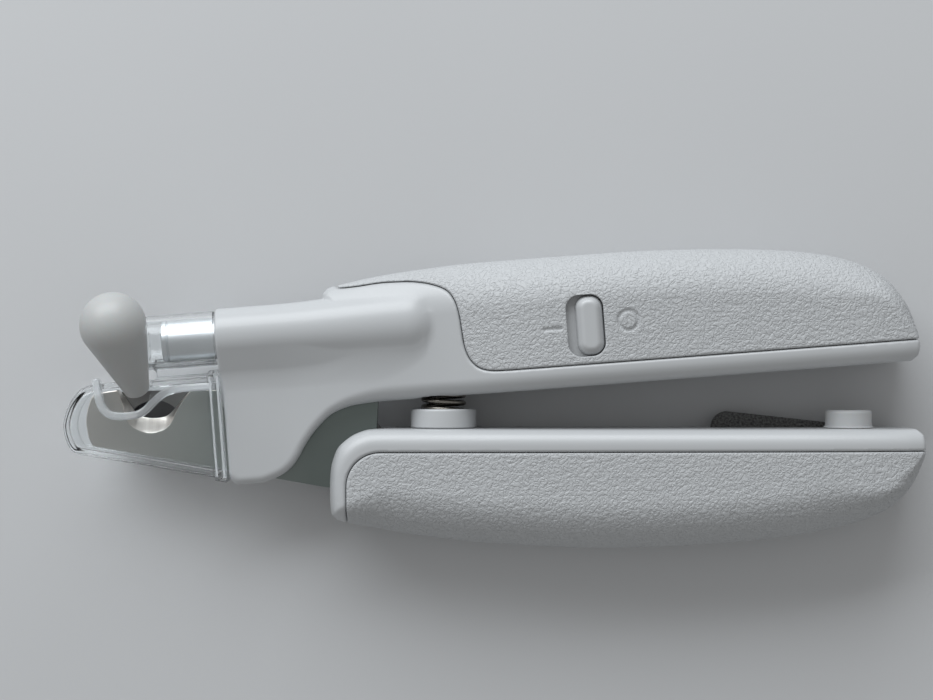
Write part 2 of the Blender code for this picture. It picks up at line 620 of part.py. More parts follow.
def light_parts():
    """Barrel, lens and lamp at the front of the light's housing."""
    base = (0, LIGHT_V, LIGHT_Z)
    barrel = ring_solid("led_barrel", BARREL_R, BARREL_R - BARREL_WALL, base, (1, 0, 0), BARREL_U)
    lens_r = BARREL_R - BARREL_WALL - 0.1
    start = BARREL_U[0] + 0.3
    lens = turned("led_lens", ((lens_r * 0.5, start), (lens_r * 0.85, start + 0.4),
                               (lens_r, start + 1.0), (lens_r, start + 2.2)), base, (1, 0, 0))
    lamp = turned("led", ((1.0, -56.6), (2.0, -56.1), (2.5, -55.0), (2.5, -48.6), (2.9, -48.59),
                          (2.9, -47.6)), base, (1, 0, 0), 20)
    for v in (LIGHT_V - 1.0, LIGHT_V + 1.0):
        add(lamp, turned("leg", ((0.3, -48.0), (0.3, BOARD_U[0] - 0.3)), (0, v, sum(BOARD_Z) / 2),
                         (1, 0, 0), 8))
    return [tilt(p) for p in (barrel, lens, lamp)]


def electronics():
    """Board, slide switch, cells and contacts inside the upper handle."""
    board = prism("circuit_board", rounded_rectangle(BOARD_U, BOARD_V, 0.8, 2), BOARD_Z)
    switch = prism("slide_switch", rounded_rectangle(centred(SWITCH_U, 8.6),
                                                     (BOARD_V[0] + 0.2, BOARD_V[1] - 0.2), 0.4, 1),
                   (BOARD_Z[1] + 0.1, 14.7))
    parts = [board, switch]
    for i in range(CELL_COUNT):
        start = CELL_START_U + i * (CELL_LENGTH + 0.1)
        profile = ((CELL_R - 0.9, 0.0), (CELL_R, 0.25), (CELL_R, CELL_LENGTH - 0.6),
                   (CELL_R - 0.5, CELL_LENGTH - 0.2), (CELL_R - 1.2, CELL_LENGTH))
        parts.append(turned(f"battery_cell_{i + 1}", profile, (start, CELL_V, MID_Z), (1, 0, 0), 20))
    end = CELL_START_U + CELL_COUNT * (CELL_LENGTH + 0.1)
    for name, u in (("battery_contact_front", CELL_START_U - 0.9), ("battery_contact_rear", end + 0.3)):
        plate = turned(name, ((4.4, 0.0), (4.4, 0.35)), (u, CELL_V, MID_Z), (1, 0, 0), 16)
        foot = stack("foot", [[(u + a, v, z) for a, v in
                               ((0, CELL_V - 1.2), (0.35, CELL_V - 1.2), (0.35, CELL_V + 1.2),
                                (0, CELL_V + 1.2))] for z in (MID_Z, MID_Z + 6.2)])
        parts.append(add(plate, foot))
    return [tilt(p) for p in parts]


def switch_knob():
    """Sliding button in its window, with a skirt under the shell."""
    off_u = SWITCH_U + SWITCH_WINDOW[0] / 2 - GROOVE * 0.8 - KNOB_SIZE[0] / 2
    outline = rounded_rectangle(centred(off_u, KNOB_SIZE[0]), centred(SWITCH_V, KNOB_SIZE[1]), 2.3, 4)
    rings = [[(x, y, z) for x, y in grown(outline, -inset)]
             for z, inset in ((15.6, 0.0), (19.6, 0.0), (20.15, 0.25), (20.35, 0.8))]
    knob = stack("switch_knob", rings)
    skirt = prism("skirt", rounded_rectangle(centred(off_u, 11.0), centred(SWITCH_V, 12.6), 1.0, 2),
                  (15.1, 15.9))
    return tilt(add(knob, skirt))


# ---- lever ------------------------------------------------------------------------
def lever_shells():
    """The two halves of the lower handle, slotted for the blades and hollow behind."""
    shells = []
    for name, side in (("lever_front_shell", 1), ("lever_back_shell", -1)):
        shell = lever_form()
        grip_room = prism("grip_room", lever_grip_region(GROOVE),
                          (MID_Z + GAP * side * 0.5, MID_Z + 20 * side))
        subtract(grip_room, lever_form(GRIP_DEPTH + GROOVE))
        subtract(shell, grip_room)
        subtract(shell, lever_form(SHELL_WALL, LEVER_CAVITY_X))
        for x, y in LEVER_SCREWS:
            add(shell, screw_post(x, y, side, lever_form))
            subtract(shell, screw_cutter(x, y))
        seat = turned("seat_room", ((SEAT_R - 0.6, SEAT_BOTTOM_Y - GAP), (SEAT_R - 0.6, 0.0)),
                      (SPRING_X, 0, MID_Z), (0, 1, 0), 28)
        bumper = turned("bumper_room", ((BUMPER_R - 1.0, BUMPER_BOTTOM_Y - GAP), (BUMPER_R - 1.0, 0.0)),
                        (BUMPER_X, 0, MID_Z), (0, 1, 0), 24)
        subtract(shell, seat, bumper)
        if side > 0:
            pocket = [(-45.0, -18.0), (-21.0, -18.4), (-18.9, -15.5), (-18.9, 3.0), (-45.0, 3.0)]
            subtract(shell, prism("fixed_blade_room", pocket, (MID_Z - 1, BLADE_SLOT_Z[1])))
        else:
            subtract(shell, prism("moving_blade_room", grown(moving_blade_outline(), GAP),
                                  (MID_Z + 1, BLADE_SLOT_Z[0])))
            for x, y in LEVER_BLADE_PINS:
                subtract(shell, turned("pin_room", ((PIN_R + 0.05, 5.0), (PIN_R + 0.05, 9.0)),
                                       (x, y, 0), (0, 0, 1), 16))
            slot_x = (FILE_X[0] - GROOVE, 90.0)
            subtract(shell, prism("file_slot", [(slot_x[0], FILE_Y[0] - GROOVE),
                                                (slot_x[1], FILE_Y[0] - GROOVE), (slot_x[1], 3.0),
                                                (slot_x[0], 3.0)],
                                  (FILE_Z[0] - GAP, FILE_Z[1] + GAP)))
        heads = turned("rivet_room", ((RIVET_HEAD_R + 0.3, MOVING_BLADE_Z[0] - 1.8),
                                      (RIVET_HEAD_R + 0.3, FIXED_BLADE_Z[1] + 1.7)),
                       (*PIVOT, 0), (0, 0, 1), 20)
        subtract(shell, heads)
        shell.name = name
        keep(shell, slab((MID_Z + 0.03, 30.0) if side > 0 else (-5.0, MID_Z - 0.03)))
        shells.append(shell)
    return shells


def lever_grips():
    """Textured skins let into the front and the back of the lower handle."""
    grips = []
    for name, side in (("lever_front_grip", 1), ("lever_back_grip", -1)):
        grip = keep(lever_form(), prism("region", lever_grip_region(),
                                        (MID_Z + GAP * side, MID_Z + 20 * side)))
        subtract(grip, lever_form(GRIP_DEPTH))
        if side < 0:
            for x, y in LEVER_SCREWS:
                subtract(grip, turned("screw_hole", ((SCREW_HEAD_R + GROOVE, -3.0),
                                                     (SCREW_HEAD_R + GROOVE, 6.0)),
                                      (x, y, 0), (0, 0, 1), 16))
            subtract(grip, prism("file_slot", [(70.0, FILE_Y[0] - GROOVE), (90.0, FILE_Y[0] - GROOVE),
                                               (90.0, 3.0), (70.0, 3.0)],
                                 (FILE_Z[0] - GAP, FILE_Z[1] + GAP)))
        grip.name = name
        grips.append(grip)
    return grips


def spring_seat():
    """Round boss on the lever's inner face that holds the foot of the spring."""
    seat = turned("spring_seat", ((SEAT_R - 0.75, SEAT_BOTTOM_Y), (SEAT_R - 0.75, LEVER_INNER_Y + 0.1),
                                  (SEAT_R, LEVER_INNER_Y + 0.11), (SEAT_R, SEAT_TOP_Y - 0.3),
                                  (SEAT_R - 0.3, SEAT_TOP_Y)), (SPRING_X, 0, MID_Z), (0, 1, 0), 28)
    bore = turned("bore", ((SPRING_R + SPRING_ROOM, SPRING_Y[0] - 0.6), (SPRING_R + SPRING_ROOM, 0.0)),
                  (SPRING_X, 0, MID_Z), (0, 1, 0), 20)
    return subtract(seat, bore)


def stop_bumper():
    """Soft stop near the end of the lever that meets the upper handle."""
    return turned("stop_bumper", ((BUMPER_R - 1.15, BUMPER_BOTTOM_Y),
                                  (BUMPER_R - 1.15, LEVER_INNER_Y + 0.1),
                                  (BUMPER_R, LEVER_INNER_Y + 0.11), (BUMPER_R, BUMPER_TOP_Y - 1.0),
                                  (BUMPER_R - 0.3, BUMPER_TOP_Y - 0.3),
                                  (BUMPER_R - 1.0, BUMPER_TOP_Y)), (BUMPER_X, 0, MID_Z), (0, 1, 0), 24)


def blade_pins():
    """Pins that lock each blade in its own handle."""
    front_span = (FIXED_BLADE_Z[0], FIXED_BLADE_Z[1] + 1.3)
    back_span = (MOVING_BLADE_Z[0] - 2.6, MOVING_BLADE_Z[1])
    pins = []
    for owner, places, span in (("body", BODY_BLADE_PINS, front_span),
                                ("lever", LEVER_BLADE_PINS, back_span)):
        for number, (x, y) in enumerate(places, 1):
            pins.append(turned(f"{owner}_blade_pin_{number}", ((PIN_R, span[0]), (PIN_R, span[1])),
                               (x, y, 0), (0, 0, 1), 12))
    return pins


def return_spring():
    """Open coil spring between the lever's seat and a pocket in the body."""
    turns, per_turn, sides = SPRING_TURNS, 14, 6
    low, high = SPRING_Y
    count = turns * per_turn
    rings = []
    for i in range(count + 1):
        angle = 2 * math.pi * i / per_turn
        out = Vector((math.cos(angle), 0.0, math.sin(angle)))
        y = low + SPRING_WIRE_R + (high - low - 2 * SPRING_WIRE_R) * i / count
        centre = Vector((SPRING_X, y, MID_Z)) + out * (SPRING_R - SPRING_WIRE_R)
        up = Vector((0.0, 1.0, 0.0))
        rings.append([centre + (out * math.cos(b) + up * math.sin(b)) * SPRING_WIRE_R
                      for b in (2 * math.pi * k / sides for k in range(sides))])
    return stack("return_spring", rings)


def nail_file():
    """Flat abrasive file with a raised rounded tip for the thumb."""
    low, high = FILE_Y
    left, right = FILE_X
    tip = arc((left + 3.0, high - 3.0), 3.0, 180, 80, 4)
    outline = ([(left, low), (right, low), (right, LEVER_INNER_Y - 3.4), (73.9, LEVER_INNER_Y - 0.3)]
               + list(reversed(tip)))
    return prism("nail_file", outline, FILE_Z)


# ---- cover and plug ---------------------------------------------------------------
def cover_outline(inset=0.0):
    """The clear cover round the blades, counter-clockwise, in (x, y)."""
    right = COVER_RIGHT_X + 4.0 * (inset > 0.0)
    bottom = -15.1 - 0.22 * (right - COVER_RIGHT_X)
    lower = [(-77.4, -10.1), (right, bottom)]
    roof = [(right, 4.7 + 0.076 * (right - COVER_RIGHT_X)), (-74.5, 2.7)]
    nose = [(-77.6, 1.6), (-79.4, -1.6), (-80.0, -4.6), (-79.4, -7.8)]
    return grown(lower + roof + nose, -inset)


def blade_cover():
    """Transparent cover: a box open towards the collar, a sleeve round the light."""
    cover = prism("blade_cover", cover_outline(), COVER_Z)
    inside_z = (COVER_Z[0] + COVER_WALL, COVER_Z[1] - COVER_WALL)
    subtract(cover, prism("inside", cover_outline(COVER_WALL), inside_z))
    subtract(cover, prism("nail_mouth", NAIL_MOUTH, (MID_Z, 30.0)))
    face = COLLAR_U - COVER_GAP
    collar_room = tilt(prism("collar_room", [(face, -40), (face + 30, -40), (face + 30, 9.0),
                                             (face, 9.0)], (-5.0, 30.0)))
    subtract(cover, collar_room)
    end = TUBE_START_U - COVER_GAP
    sleeve = turned("sleeve", ((SLEEVE_R - 0.3, SLEEVE_START_U), (SLEEVE_R, SLEEVE_START_U + 0.3),
                               (SLEEVE_R, end)), (0, LIGHT_V, LIGHT_Z), (1, 0, 0), 28)
    low, high = WEB_V
    add(sleeve, prism("web", [(WEB_START_U, low), (end, low), (end, high), (WEB_START_U, high)],
                      (MID_Z - 1.6, MID_Z + 1.6)))
    subtract(sleeve, turned("bore", ((BARREL_R + 0.2, -70.0), (BARREL_R + 0.2, -40.0)),
                            (0, LIGHT_V, LIGHT_Z), (1, 0, 0), 24))
    return add(cover, tilt(sleeve))


def nail_plug():
    """Drop-shaped soft plug: a ball that runs out in a straight cone into the nail opening."""
    ball, tip = Vector(PLUG_BALL), Vector(PLUG_TIP)
    axis = (tip - ball).normalized()
    length = (tip - ball).length
    profile = [(PLUG_BALL_R * math.sin(math.radians(a)), -PLUG_BALL_R * math.cos(math.radians(a)))
               for a in (12, 30, 50, 70, 90)]
    start, radius = PLUG_TAPER
    profile += [(radius, start), (PLUG_TIP_R + 0.2, length - 0.4), (PLUG_TIP_R - 0.3, length)]
    return turned("nail_plug", profile, ball, axis, 24)


# ---- assembly --------------------------------------------------------------------
def material(name):
    if name in bpy.data.materials:
        return bpy.data.materials[name]
    colour, roughness, metallic, alpha = COLOURS[name]
    made = bpy.data.materials.new(name)
    made.use_nodes = True
    shader = made.node_tree.nodes["Principled BSDF"]
    shader.inputs["Base Color"].default_value = (*colour, 1.0)
    shader.inputs["Roughness"].default_value = roughness
    shader.inputs["Metallic"].default_value = metallic
    shader.inputs["Alpha"].default_value = alpha
    return made


def anchor(name, location, angle=0.0):
    """An empty on a joint's axis, which carries the pieces of one moving part."""
    empty = bpy.data.objects.new(name, None)
    empty.location = Vector(location) * MM
    empty.rotation_euler = (0.0, 0.0, math.radians(angle))
    empty.empty_display_size = 0.01
    bpy.context.scene.collection.objects.link(empty)
    return empty


def attach(solids, empty, material_name):
    """Give pieces their material and hang them on their moving part."""
    bpy.context.view_layer.update()
    for solid in solids:
        solid.data.materials.clear()
        solid.data.materials.append(material(material_name))
        solid.data.shade_smooth()
        solid.data.set_sharp_from_angle(angle=math.radians(32))
        solid.parent = empty
        solid.matrix_parent_inverse = empty.matrix_world.inverted()


def main():
    for old in list(bpy.data.objects):
        bpy.data.objects.remove(old)

    body = anchor("body", (0, 0, MID_Z), BODY_TILT)
    lever = anchor("lever", (*PIVOT, MID_Z))
    knob_place = body_to_world([(SWITCH_U, SWITCH_V)])[0]
    switch = anchor("switch", (*knob_place, 20.0), BODY_TILT)
    file_anchor = anchor("file", (FILE_X[0], FILE_Y[0], FILE_Z[0]))
    cover = anchor("cover", (-51.8, -6.0, MID_Z), BODY_TILT)
    plug = anchor("plug", PLUG_TIP)
    for child in (lever, switch, cover):
        child.parent = body
        child.matrix_parent_inverse = body.matrix_basis.inverted()
    file_anchor.parent = lever
    file_anchor.matrix_parent_inverse = lever.matrix_basis.inverted()
    plug.parent = cover
    plug.matrix_parent_inverse = cover.matrix_basis.inverted()

    attach(body_shells() + [battery_door()], body, "shell")
    attach(body_grips(), body, "grip")
    attach([tilt(screw(f"body_screw_{i}", u, v)) for i, (u, v) in enumerate(BODY_SCREWS, 1)]
           + [battery_door_screw()], body, "steel")
    barrel, lens, lamp = light_parts()
    attach([barrel], body, "chrome")
    attach([lens, lamp], body, "clear")
    board, slide_switch, *cells = electronics()
    attach([board], body, "board")
    attach([slide_switch], body, "black")
    attach(cells, body, "steel")
    pins = blade_pins()
    attach([fixed_blade(), pivot_rivet()] + pins[:2], body, "steel")
    attach([nail_guard()], body, "dark_steel")
    attach(lever_shells() + [spring_seat(), stop_bumper()], lever, "shell")
    attach(lever_grips(), lever, "grip")
    attach([screw(f"lever_screw_{i}", x, y) for i, (x, y) in enumerate(LEVER_SCREWS, 1)]
           + [moving_blade()] + pins[2:], lever, "steel")
    attach([return_spring()], lever, "dark_steel")
    attach([nail_file()], file_anchor, "abrasive")
    attach([switch_knob()], switch, "shell")
    attach([blade_cover()], cover, "clear")
    attach([nail_plug()], plug, "plug")


main()
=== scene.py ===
"""Finished surfaces, materials, light and camera for the plier-type nail clipper.

Shapes are worked out in millimetres and become metres when a mesh is made. Moulded
pieces come from distance fields: field(x, y, z) is negative inside the piece, and
surface() turns it into a closed mesh. The body's own frame (u along the upper
handle, v across it) is the row frame turned by the body's tilt.
"""
import json
import math
from itertools import product

import bpy
import numpy as np
from mathutils import Matrix, Vector, noise


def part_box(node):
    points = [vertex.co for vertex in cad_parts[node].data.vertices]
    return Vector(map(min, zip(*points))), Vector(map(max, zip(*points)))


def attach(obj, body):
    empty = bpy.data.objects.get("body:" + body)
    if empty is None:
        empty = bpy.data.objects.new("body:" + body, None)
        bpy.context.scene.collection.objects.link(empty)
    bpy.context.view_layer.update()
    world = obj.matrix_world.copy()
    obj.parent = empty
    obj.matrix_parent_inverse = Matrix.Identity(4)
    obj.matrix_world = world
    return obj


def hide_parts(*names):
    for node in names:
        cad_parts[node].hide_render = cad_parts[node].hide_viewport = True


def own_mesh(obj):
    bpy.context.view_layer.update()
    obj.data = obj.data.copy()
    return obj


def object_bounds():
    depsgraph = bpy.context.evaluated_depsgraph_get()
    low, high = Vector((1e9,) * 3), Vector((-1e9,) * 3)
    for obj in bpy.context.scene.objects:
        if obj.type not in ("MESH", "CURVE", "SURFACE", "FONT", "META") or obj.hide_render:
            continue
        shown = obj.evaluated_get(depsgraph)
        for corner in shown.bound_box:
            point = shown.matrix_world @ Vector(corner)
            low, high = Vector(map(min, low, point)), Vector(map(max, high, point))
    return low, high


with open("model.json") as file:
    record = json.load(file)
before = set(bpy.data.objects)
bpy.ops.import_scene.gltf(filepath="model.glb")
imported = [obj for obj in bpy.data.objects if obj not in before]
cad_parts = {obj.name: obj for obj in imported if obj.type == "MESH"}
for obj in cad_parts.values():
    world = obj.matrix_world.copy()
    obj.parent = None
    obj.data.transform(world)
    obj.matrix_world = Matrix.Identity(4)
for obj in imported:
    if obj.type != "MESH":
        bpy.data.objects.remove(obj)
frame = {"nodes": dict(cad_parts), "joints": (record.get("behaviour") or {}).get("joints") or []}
CAD_BOX = [list(corner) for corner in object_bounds()]

MM = 0.001
JOINTS = {joint["name"]: joint for joint in frame["joints"]}


def box_mm(node):
    """Lowest and highest corner of a CAD node, in millimetres."""
    low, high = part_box(node)
    return Vector(low) / MM, Vector(high) / MM


def centre_mm(node):
    """Middle of a CAD node's box, in millimetres."""
    low, high = box_mm(node)
    return (low + high) / 2


# ---- driving dimensions (mm) ----
SLIDE_AXIS = JOINTS["switch_slide"]["axis"]
TILT = math.atan(SLIDE_AXIS[1] / SLIDE_AXIS[0])
TO_ROW = Matrix.Rotation(TILT, 4, "Z")
TO_BODY = TO_ROW.inverted()
PIVOT = Vector(JOINTS["lever_squeeze"]["pos_m"]) / MM
MID_Z = PIVOT.z

GAP = 0.15                    # clearance between parallel faces
GROOVE = 0.3                  # groove round the grips, the door and the knob
GRIP_DEPTH = 1.1
WALL = 3.1
BACK_Z, FRONT_Z = -0.3, 20.5  # just past the handles' flat faces
FAR_CURVE = 9.0               # the handles' tops start to fall this far from the outline
NEAR_CORNER, COLLAR_CORNER = 3.0, 1.5      # corner radii along the inner faces
END_CORNER = 0.9                           # and at their ends
SHELL_STEP, GRIP_STEP, FINE_STEP = ((0.28, 0.21, 0.2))

BODY_END_U, COLLAR_U, BODY_INNER_V = 79.2, -50.0, 1.15
LIGHT_AXIS = TO_BODY @ centre_mm("led_barrel")      # the light's axis runs along u
LIGHT_V, LIGHT_Z = LIGHT_AXIS.y, LIGHT_AXIS.z
TUBE_R, TUBE_GROWTH, TUBE_START_U, TUBE_END_U = 5.4, 1.1, -50.4, -15.0
RAMP_TILT, OUTER_TILT, NOSE_TILT = (24.0, 18.5), 26.0, 22.0      # degrees; the ramp eases along u
LIGHT_BORE_R = 3.95

LEVER_INNER_Y = -5.5
SEAT_LOW, SEAT_HIGH = box_mm("spring_seat")
BUMPER_LOW, BUMPER_HIGH = box_mm("stop_bumper")
SPRING_LOW, SPRING_HIGH = box_mm("return_spring")
FILE_LOW, FILE_HIGH = box_mm("nail_file")
SPRING_TURNS, SPRING_WIRE_R, SPRING_ROOM, SPRING_SWING = 10, 0.45, 0.5, 2.0
SPRING_X = (SPRING_LOW.x + SPRING_HIGH.x) / 2
SPRING_R = (SPRING_HIGH.z - SPRING_LOW.z) / 2

SWITCH_UV, SWITCH_WINDOW, WINDOW_CORNER = (17.5, 12.2), (6.85, 11.3), 2.5
KNOB_SIZE, KNOB_CORNER = (4.9, 10.8), 2.2
SKIRT_SIZE, SKIRT_ROOM, SKIRT_Z = (10.4, 12.4), (15.0, 13.2), (17.2, 18.3)
ON_MARK_UV, OFF_MARK_UV, MARK_SIZE, MARK_DEPTH = (11.4, 12.0), (25.3, 12.6), 3.6, 0.3
GRAIN_HEIGHT, GRAIN_SEED = 0.15, 1

DOOR_CENTRE, DOOR_SIZE, DOOR_DEPTH = (36.0, 12.9), (21.0, 13.0), 2.2
TAB_CENTRE, TAB_SIZE = (47.0, 13.0), (9.0, 6.0)
DOOR_SCREW = TO_BODY @ centre_mm("battery_door_screw")
BODY_SCREWS = [TO_BODY @ centre_mm(f"body_screw_{i}") for i in (1, 2, 3)]
LEVER_SCREWS = [centre_mm(f"lever_screw_{i}") for i in (1, 2)]
SCREW_HOLE_R, SCREW_HEAD_R, POST_R = 1.25, 2.4, 2.9

# Outlines, as control points of smooth curves. Body: (u, v). Lever: (x, depth below y = 0).
BODY_OUTER = (
    (-60, 14.6), (-32.2, 14.6), (-31.6, 16.5), (-31, 20.5), (-29.8, 22.7), (-27.4, 23.3), (-15.6, 24.8),
    (0, 25.5), (25, 25.4), (36.7, 25), (47.9, 24.2), (55.4, 23.4), (62.7, 22.1), (68, 20.5), (72.1, 18.4),
    (74.9, 16), (77, 12.9), (78.25, 10.1), (79.05, 6.1), (79.2, 4.4))
BODY_INNER = (
    (-60, -10.8), (-50, -10.8), (-49.6, -11.6), (-48.4, -12.2), (-44.5, -12.2), (-41.9, -11.6),
    (-39.6, -10.6), (-37.4, -8.6), (-35.6, -5.8), (-32.9, -2.6), (-29.8, -0.25), (-25.9, 0.85), (-21, 1.15),
    (79.6, 1.15))
BODY_HALF = (
    (-60, 4.4), (-40, 4.4), (-33, 4.9), (-25, 5.6), (-17, 6.2), (-9, 6.9), (0, 8.7), (10, 9.85), (16, 10),
    (56, 10), (68, 9.6), (75, 9), (79.6, 8))
LEVER_OUTER = (
    (-31.5, 17.6), (-31.3, 20.2), (-30.6, 22), (-28.7, 22.8), (-21.3, 24.2), (-13.8, 25.5), (1.1, 27),
    (19.8, 27.8), (38.4, 27.2), (53.4, 25.8), (60.8, 24.6), (68.3, 22.7), (72.4, 20.9), (75.6, 18.5),
    (77.6, 15.9), (79, 12.9), (79.7, 10.4))
LEVER_INNER = (
    (-31.5, 15.6), (-31.25, 13.4), (-30.2, 10.8), (-28.4, 8.4), (-25.6, 6.4), (-22.8, 5.6), (-20, 5.5),
    (80, 5.5))
LEVER_HALF = (
    (-31.5, 7.6), (-28, 8.4), (-22, 8.9), (-9, 9.5), (8, 10), (56, 10), (68, 9.6), (75, 9.1), (80, 8.2))

# Borders between the textured grips and the smooth frame.
BODY_GRIP_BORDER = (
    (-27, 22.75), (-25.5, 22.75), (-23.2, 22.85), (-19.8, 23.1), (-16.5, 23.05), (-13.2, 22.8), (-9.9, 22),
    (-7.3, 20.7), (-5.9, 18.6), (-5.25, 15.7), (-5, 12.6), (-4.7, 9.9), (-3.9, 7.7), (-2.4, 6.1),
    (-0.2, 5.4), (3, 5.25))
GRIP_BAND = 4.3
LEVER_GRIP_LEFT_X, LEVER_GRIP_CORNER = -27.2, 6.2

# Room for both blades between the shells, in (x, y).
BLADE_SLOT = (
    (-90, -5.9), (-51.9, -13.05), (-31.7, -16.65), (-10, -20), (-10, -4), (-21.2, -3), (-21.2, 0.6),
    (-23.8, 1.95), (-56.3, 1.9), (-90, 1.9))
BLADE_SLOT_Z = (7.8, 12.05)
# Room in the lever's shells for the blade of each side.
FIXED_BLADE_ROOM = ((-45, -18), (-21, -18.4), (-18.9, -15.5), (-18.9, 3), (-45, 3))
MOVING_BLADE_ROOM = (
    (-80, -3), (-57.4, -4.8), (-50, -9.8), (-40, -13.6), (-30.5, -16.4), (-25, -17.6), (-12, -17.8),
    (0.7, -17.5), (0.7, -10.3), (-16, -10.05), (-18.5, -8.2), (-22, -4.4), (-36, -0.8), (-80, 1.7))
FIXED_BLADE = (
    (-74.6, -8.8), (-51.9, -12.8), (-31.7, -16.4), (-27.5, -16.9), (-22.6, -16.8), (-20.4, -14.8),
    (-19.9, -12.4), (-21.9, -6), (-21.5, 0.5), (-24, 1.7), (-69.9, 1.6), (-73.6, 1), (-74.8, 0.2),
    (-75.6, -2.2), (-75.8, -4.6), (-75.4, -7.2))
NOTCH_EDGE = (
    (-71, 3.7), (-69.9, 1.7), (-68.3, -0.5), (-67, -2.4), (-65.9, -3.2), (-64, -3.6), (-61.9, -3.45),
    (-60.7, -2.95), (-59.6, -1.9), (-58.2, -0.1), (-56.6, 1.7), (-54.9, 3.7))
NOTCH_GROUND = (
    (-71.2, 3.7), (-70.2, 1.7), (-69.2, -0.8), (-68.6, -3.1), (-67.3, -5.2), (-64.2, -6.4), (-61.5, -5.8),
    (-60, -4.4), (-59.2, -2.6), (-57.9, -0.4), (-56.2, 1.7), (-54.6, 3.7))

# Clear cover, in (x, y); z from the CAD node.
COVER_LOW, COVER_HIGH = box_mm("blade_cover")
COVER_Z = (2.7, 15)
COVER_WALL = 1.1
COVER_OUTLINE = (
    (-48, -15.1), (-48, 4.7), (-60, 3.8), (-72, 2.9), (-74.6, 2.55), (-76.7, 1.6), (-78.3, -0.4),
    (-79.3, -2.7), (-79.7, -5), (-79.3, -7.3), (-78.5, -9.1), (-77.6, -9.95), (-76.2, -10.35), (-74, -10.7),
    (-60, -13.05))
NAIL_MOUTH = (
    (-73.1, 9), (-73, 4), (-72.9, 1.4), (-72.3, -0.9), (-71.1, -2.3), (-69.2, -2.75), (-66.4, -2.5),
    (-64.8, -1.8), (-63.9, -0.7), (-63.6, 1), (-63.6, 4), (-63.6, 9))
MOUTH_RIM = (
    (-73.5, 3.1), (-73.3, 1.4), (-72.7, -1.1), (-71.3, -2.75), (-69.2, -3.2), (-66.3, -2.95), (-64.5, -2.1),
    (-63, -0.6), (-61.2, 0.9), (-59, 1.75), (-56, 2.1), (-52.8, 2.3))
# the ribs are thin whitish strips that paint highlights: bright lines along the cover's flange edges
RIM_WIDTH, HIGHLIGHT_RIBS = 1.4, ((2.3, 1.9), (0.95, 0.5))      # ribs: far and near side, from the collar
SLEEVE_R, SLEEVE_START_U = 5, -63.7
WEB_START_U, WEB_V, WEB_WIDTH = -62.5, 10.2, 4.6


# ---- curves and distance fields ----
def curve_through(points):
    """A smooth curve through control points that never overshoots them."""
    xs, ys = np.array(points, float).T
    step = np.diff(xs)
    slope = np.diff(ys) / step
    tangent = np.concatenate(([slope[0]], np.zeros(len(xs) - 2), [slope[-1]]))
    for i in range(1, len(xs) - 1):
        if slope[i - 1] * slope[i] > 0.0:
            w1, w2 = 2 * step[i] + step[i - 1], step[i] + 2 * step[i - 1]
            tangent[i] = (w1 + w2) / (w1 / slope[i - 1] + w2 / slope[i])

    def value(x):
        i = np.clip(np.searchsorted(xs, x) - 1, 0, len(step) - 1)
        t = np.clip((x - xs[i]) / step[i], 0.0, 1.0)
        low = (1 + 2 * t) * (1 - t) ** 2 * ys[i] + t * (1 - t) ** 2 * step[i] * tangent[i]
        high = t * t * (3 - 2 * t) * ys[i + 1] + t * t * (t - 1) * step[i] * tangent[i + 1]
        return low + high

    return value


def rounded(points, count=6):
    """A denser outline that runs smoothly through the given points."""
    points = [np.array(p, float) for p in points]
    points = [2 * points[0] - points[1]] + points + [2 * points[-1] - points[-2]]
    dense = []
    for a, b, c, d in zip(points, points[1:], points[2:], points[3:]):
        for t in np.arange(count) / count:
            dense.append(0.5 * (2 * b + (c - a) * t + (2 * a - 5 * b + 4 * c - d) * t ** 2
                                + (3 * b - a - 3 * c + d) * t ** 3))
    return dense + [points[-2]]


def smooth(low, high, value):
    """0 below low, 1 above high, with a smooth step between."""
    t = np.clip((value - low) / (high - low), 0.0, 1.0)
    return t * t * (3 - 2 * t)


def polygon_distance(outline, x, y):
    """Signed distance from points to a closed outline, negative inside."""
    nearest = np.full(np.broadcast(x, y).shape, 1e9)
    inside = np.zeros(nearest.shape, bool)
    for (x0, y0), (x1, y1) in zip(outline, list(outline[1:]) + [outline[0]]):
        dx, dy = x1 - x0, y1 - y0
        t = np.clip(((x - x0) * dx + (y - y0) * dy) / max(dx * dx + dy * dy, 1e-12), 0.0, 1.0)
        nearest = np.minimum(nearest, (x - x0 - t * dx) ** 2 + (y - y0 - t * dy) ** 2)
        if dy:
            crossing = ((y0 > y) != (y1 > y)) & (x < x0 + (y - y0) * dx / dy)
            inside ^= crossing
    return np.where(inside, -1.0, 1.0) * np.sqrt(nearest)


class Plan:
    """A flat outline with its signed distance, kept in a table and read between its points."""

    STEP = 0.25

    def __init__(self, outline, margin=12.0):
        low, high = np.min(outline, axis=0) - margin, np.max(outline, axis=0) + margin
        self.low = low
        count = np.ceil((high - low) / self.STEP).astype(int) + 2
        x = low[0] + self.STEP * np.arange(count[0])[:, None]
        y = low[1] + self.STEP * np.arange(count[1])[None, :]
        self.table = polygon_distance(list(map(tuple, outline)), x, y)

    def __call__(self, x, y):
        x, y = np.broadcast_arrays(x, y)
        a = np.clip((x - self.low[0]) / self.STEP, 0, self.table.shape[0] - 1.001)
        b = np.clip((y - self.low[1]) / self.STEP, 0, self.table.shape[1] - 1.001)
        i, j = a.astype(int), b.astype(int)
        a, b = a - i, b - j
        t = self.table
        return ((t[i, j] * (1 - a) + t[i + 1, j] * a) * (1 - b)
                + (t[i, j + 1] * (1 - a) + t[i + 1, j + 1] * a) * b)


def both(first, *others):
    """Where all the fields are negative."""
    for other in others:
        first = np.maximum(first, other)
    return first


def cut(field, *rooms):
    """What is left of a field when the rooms are taken out of it."""
    return both(field, *(-room for room in rooms))


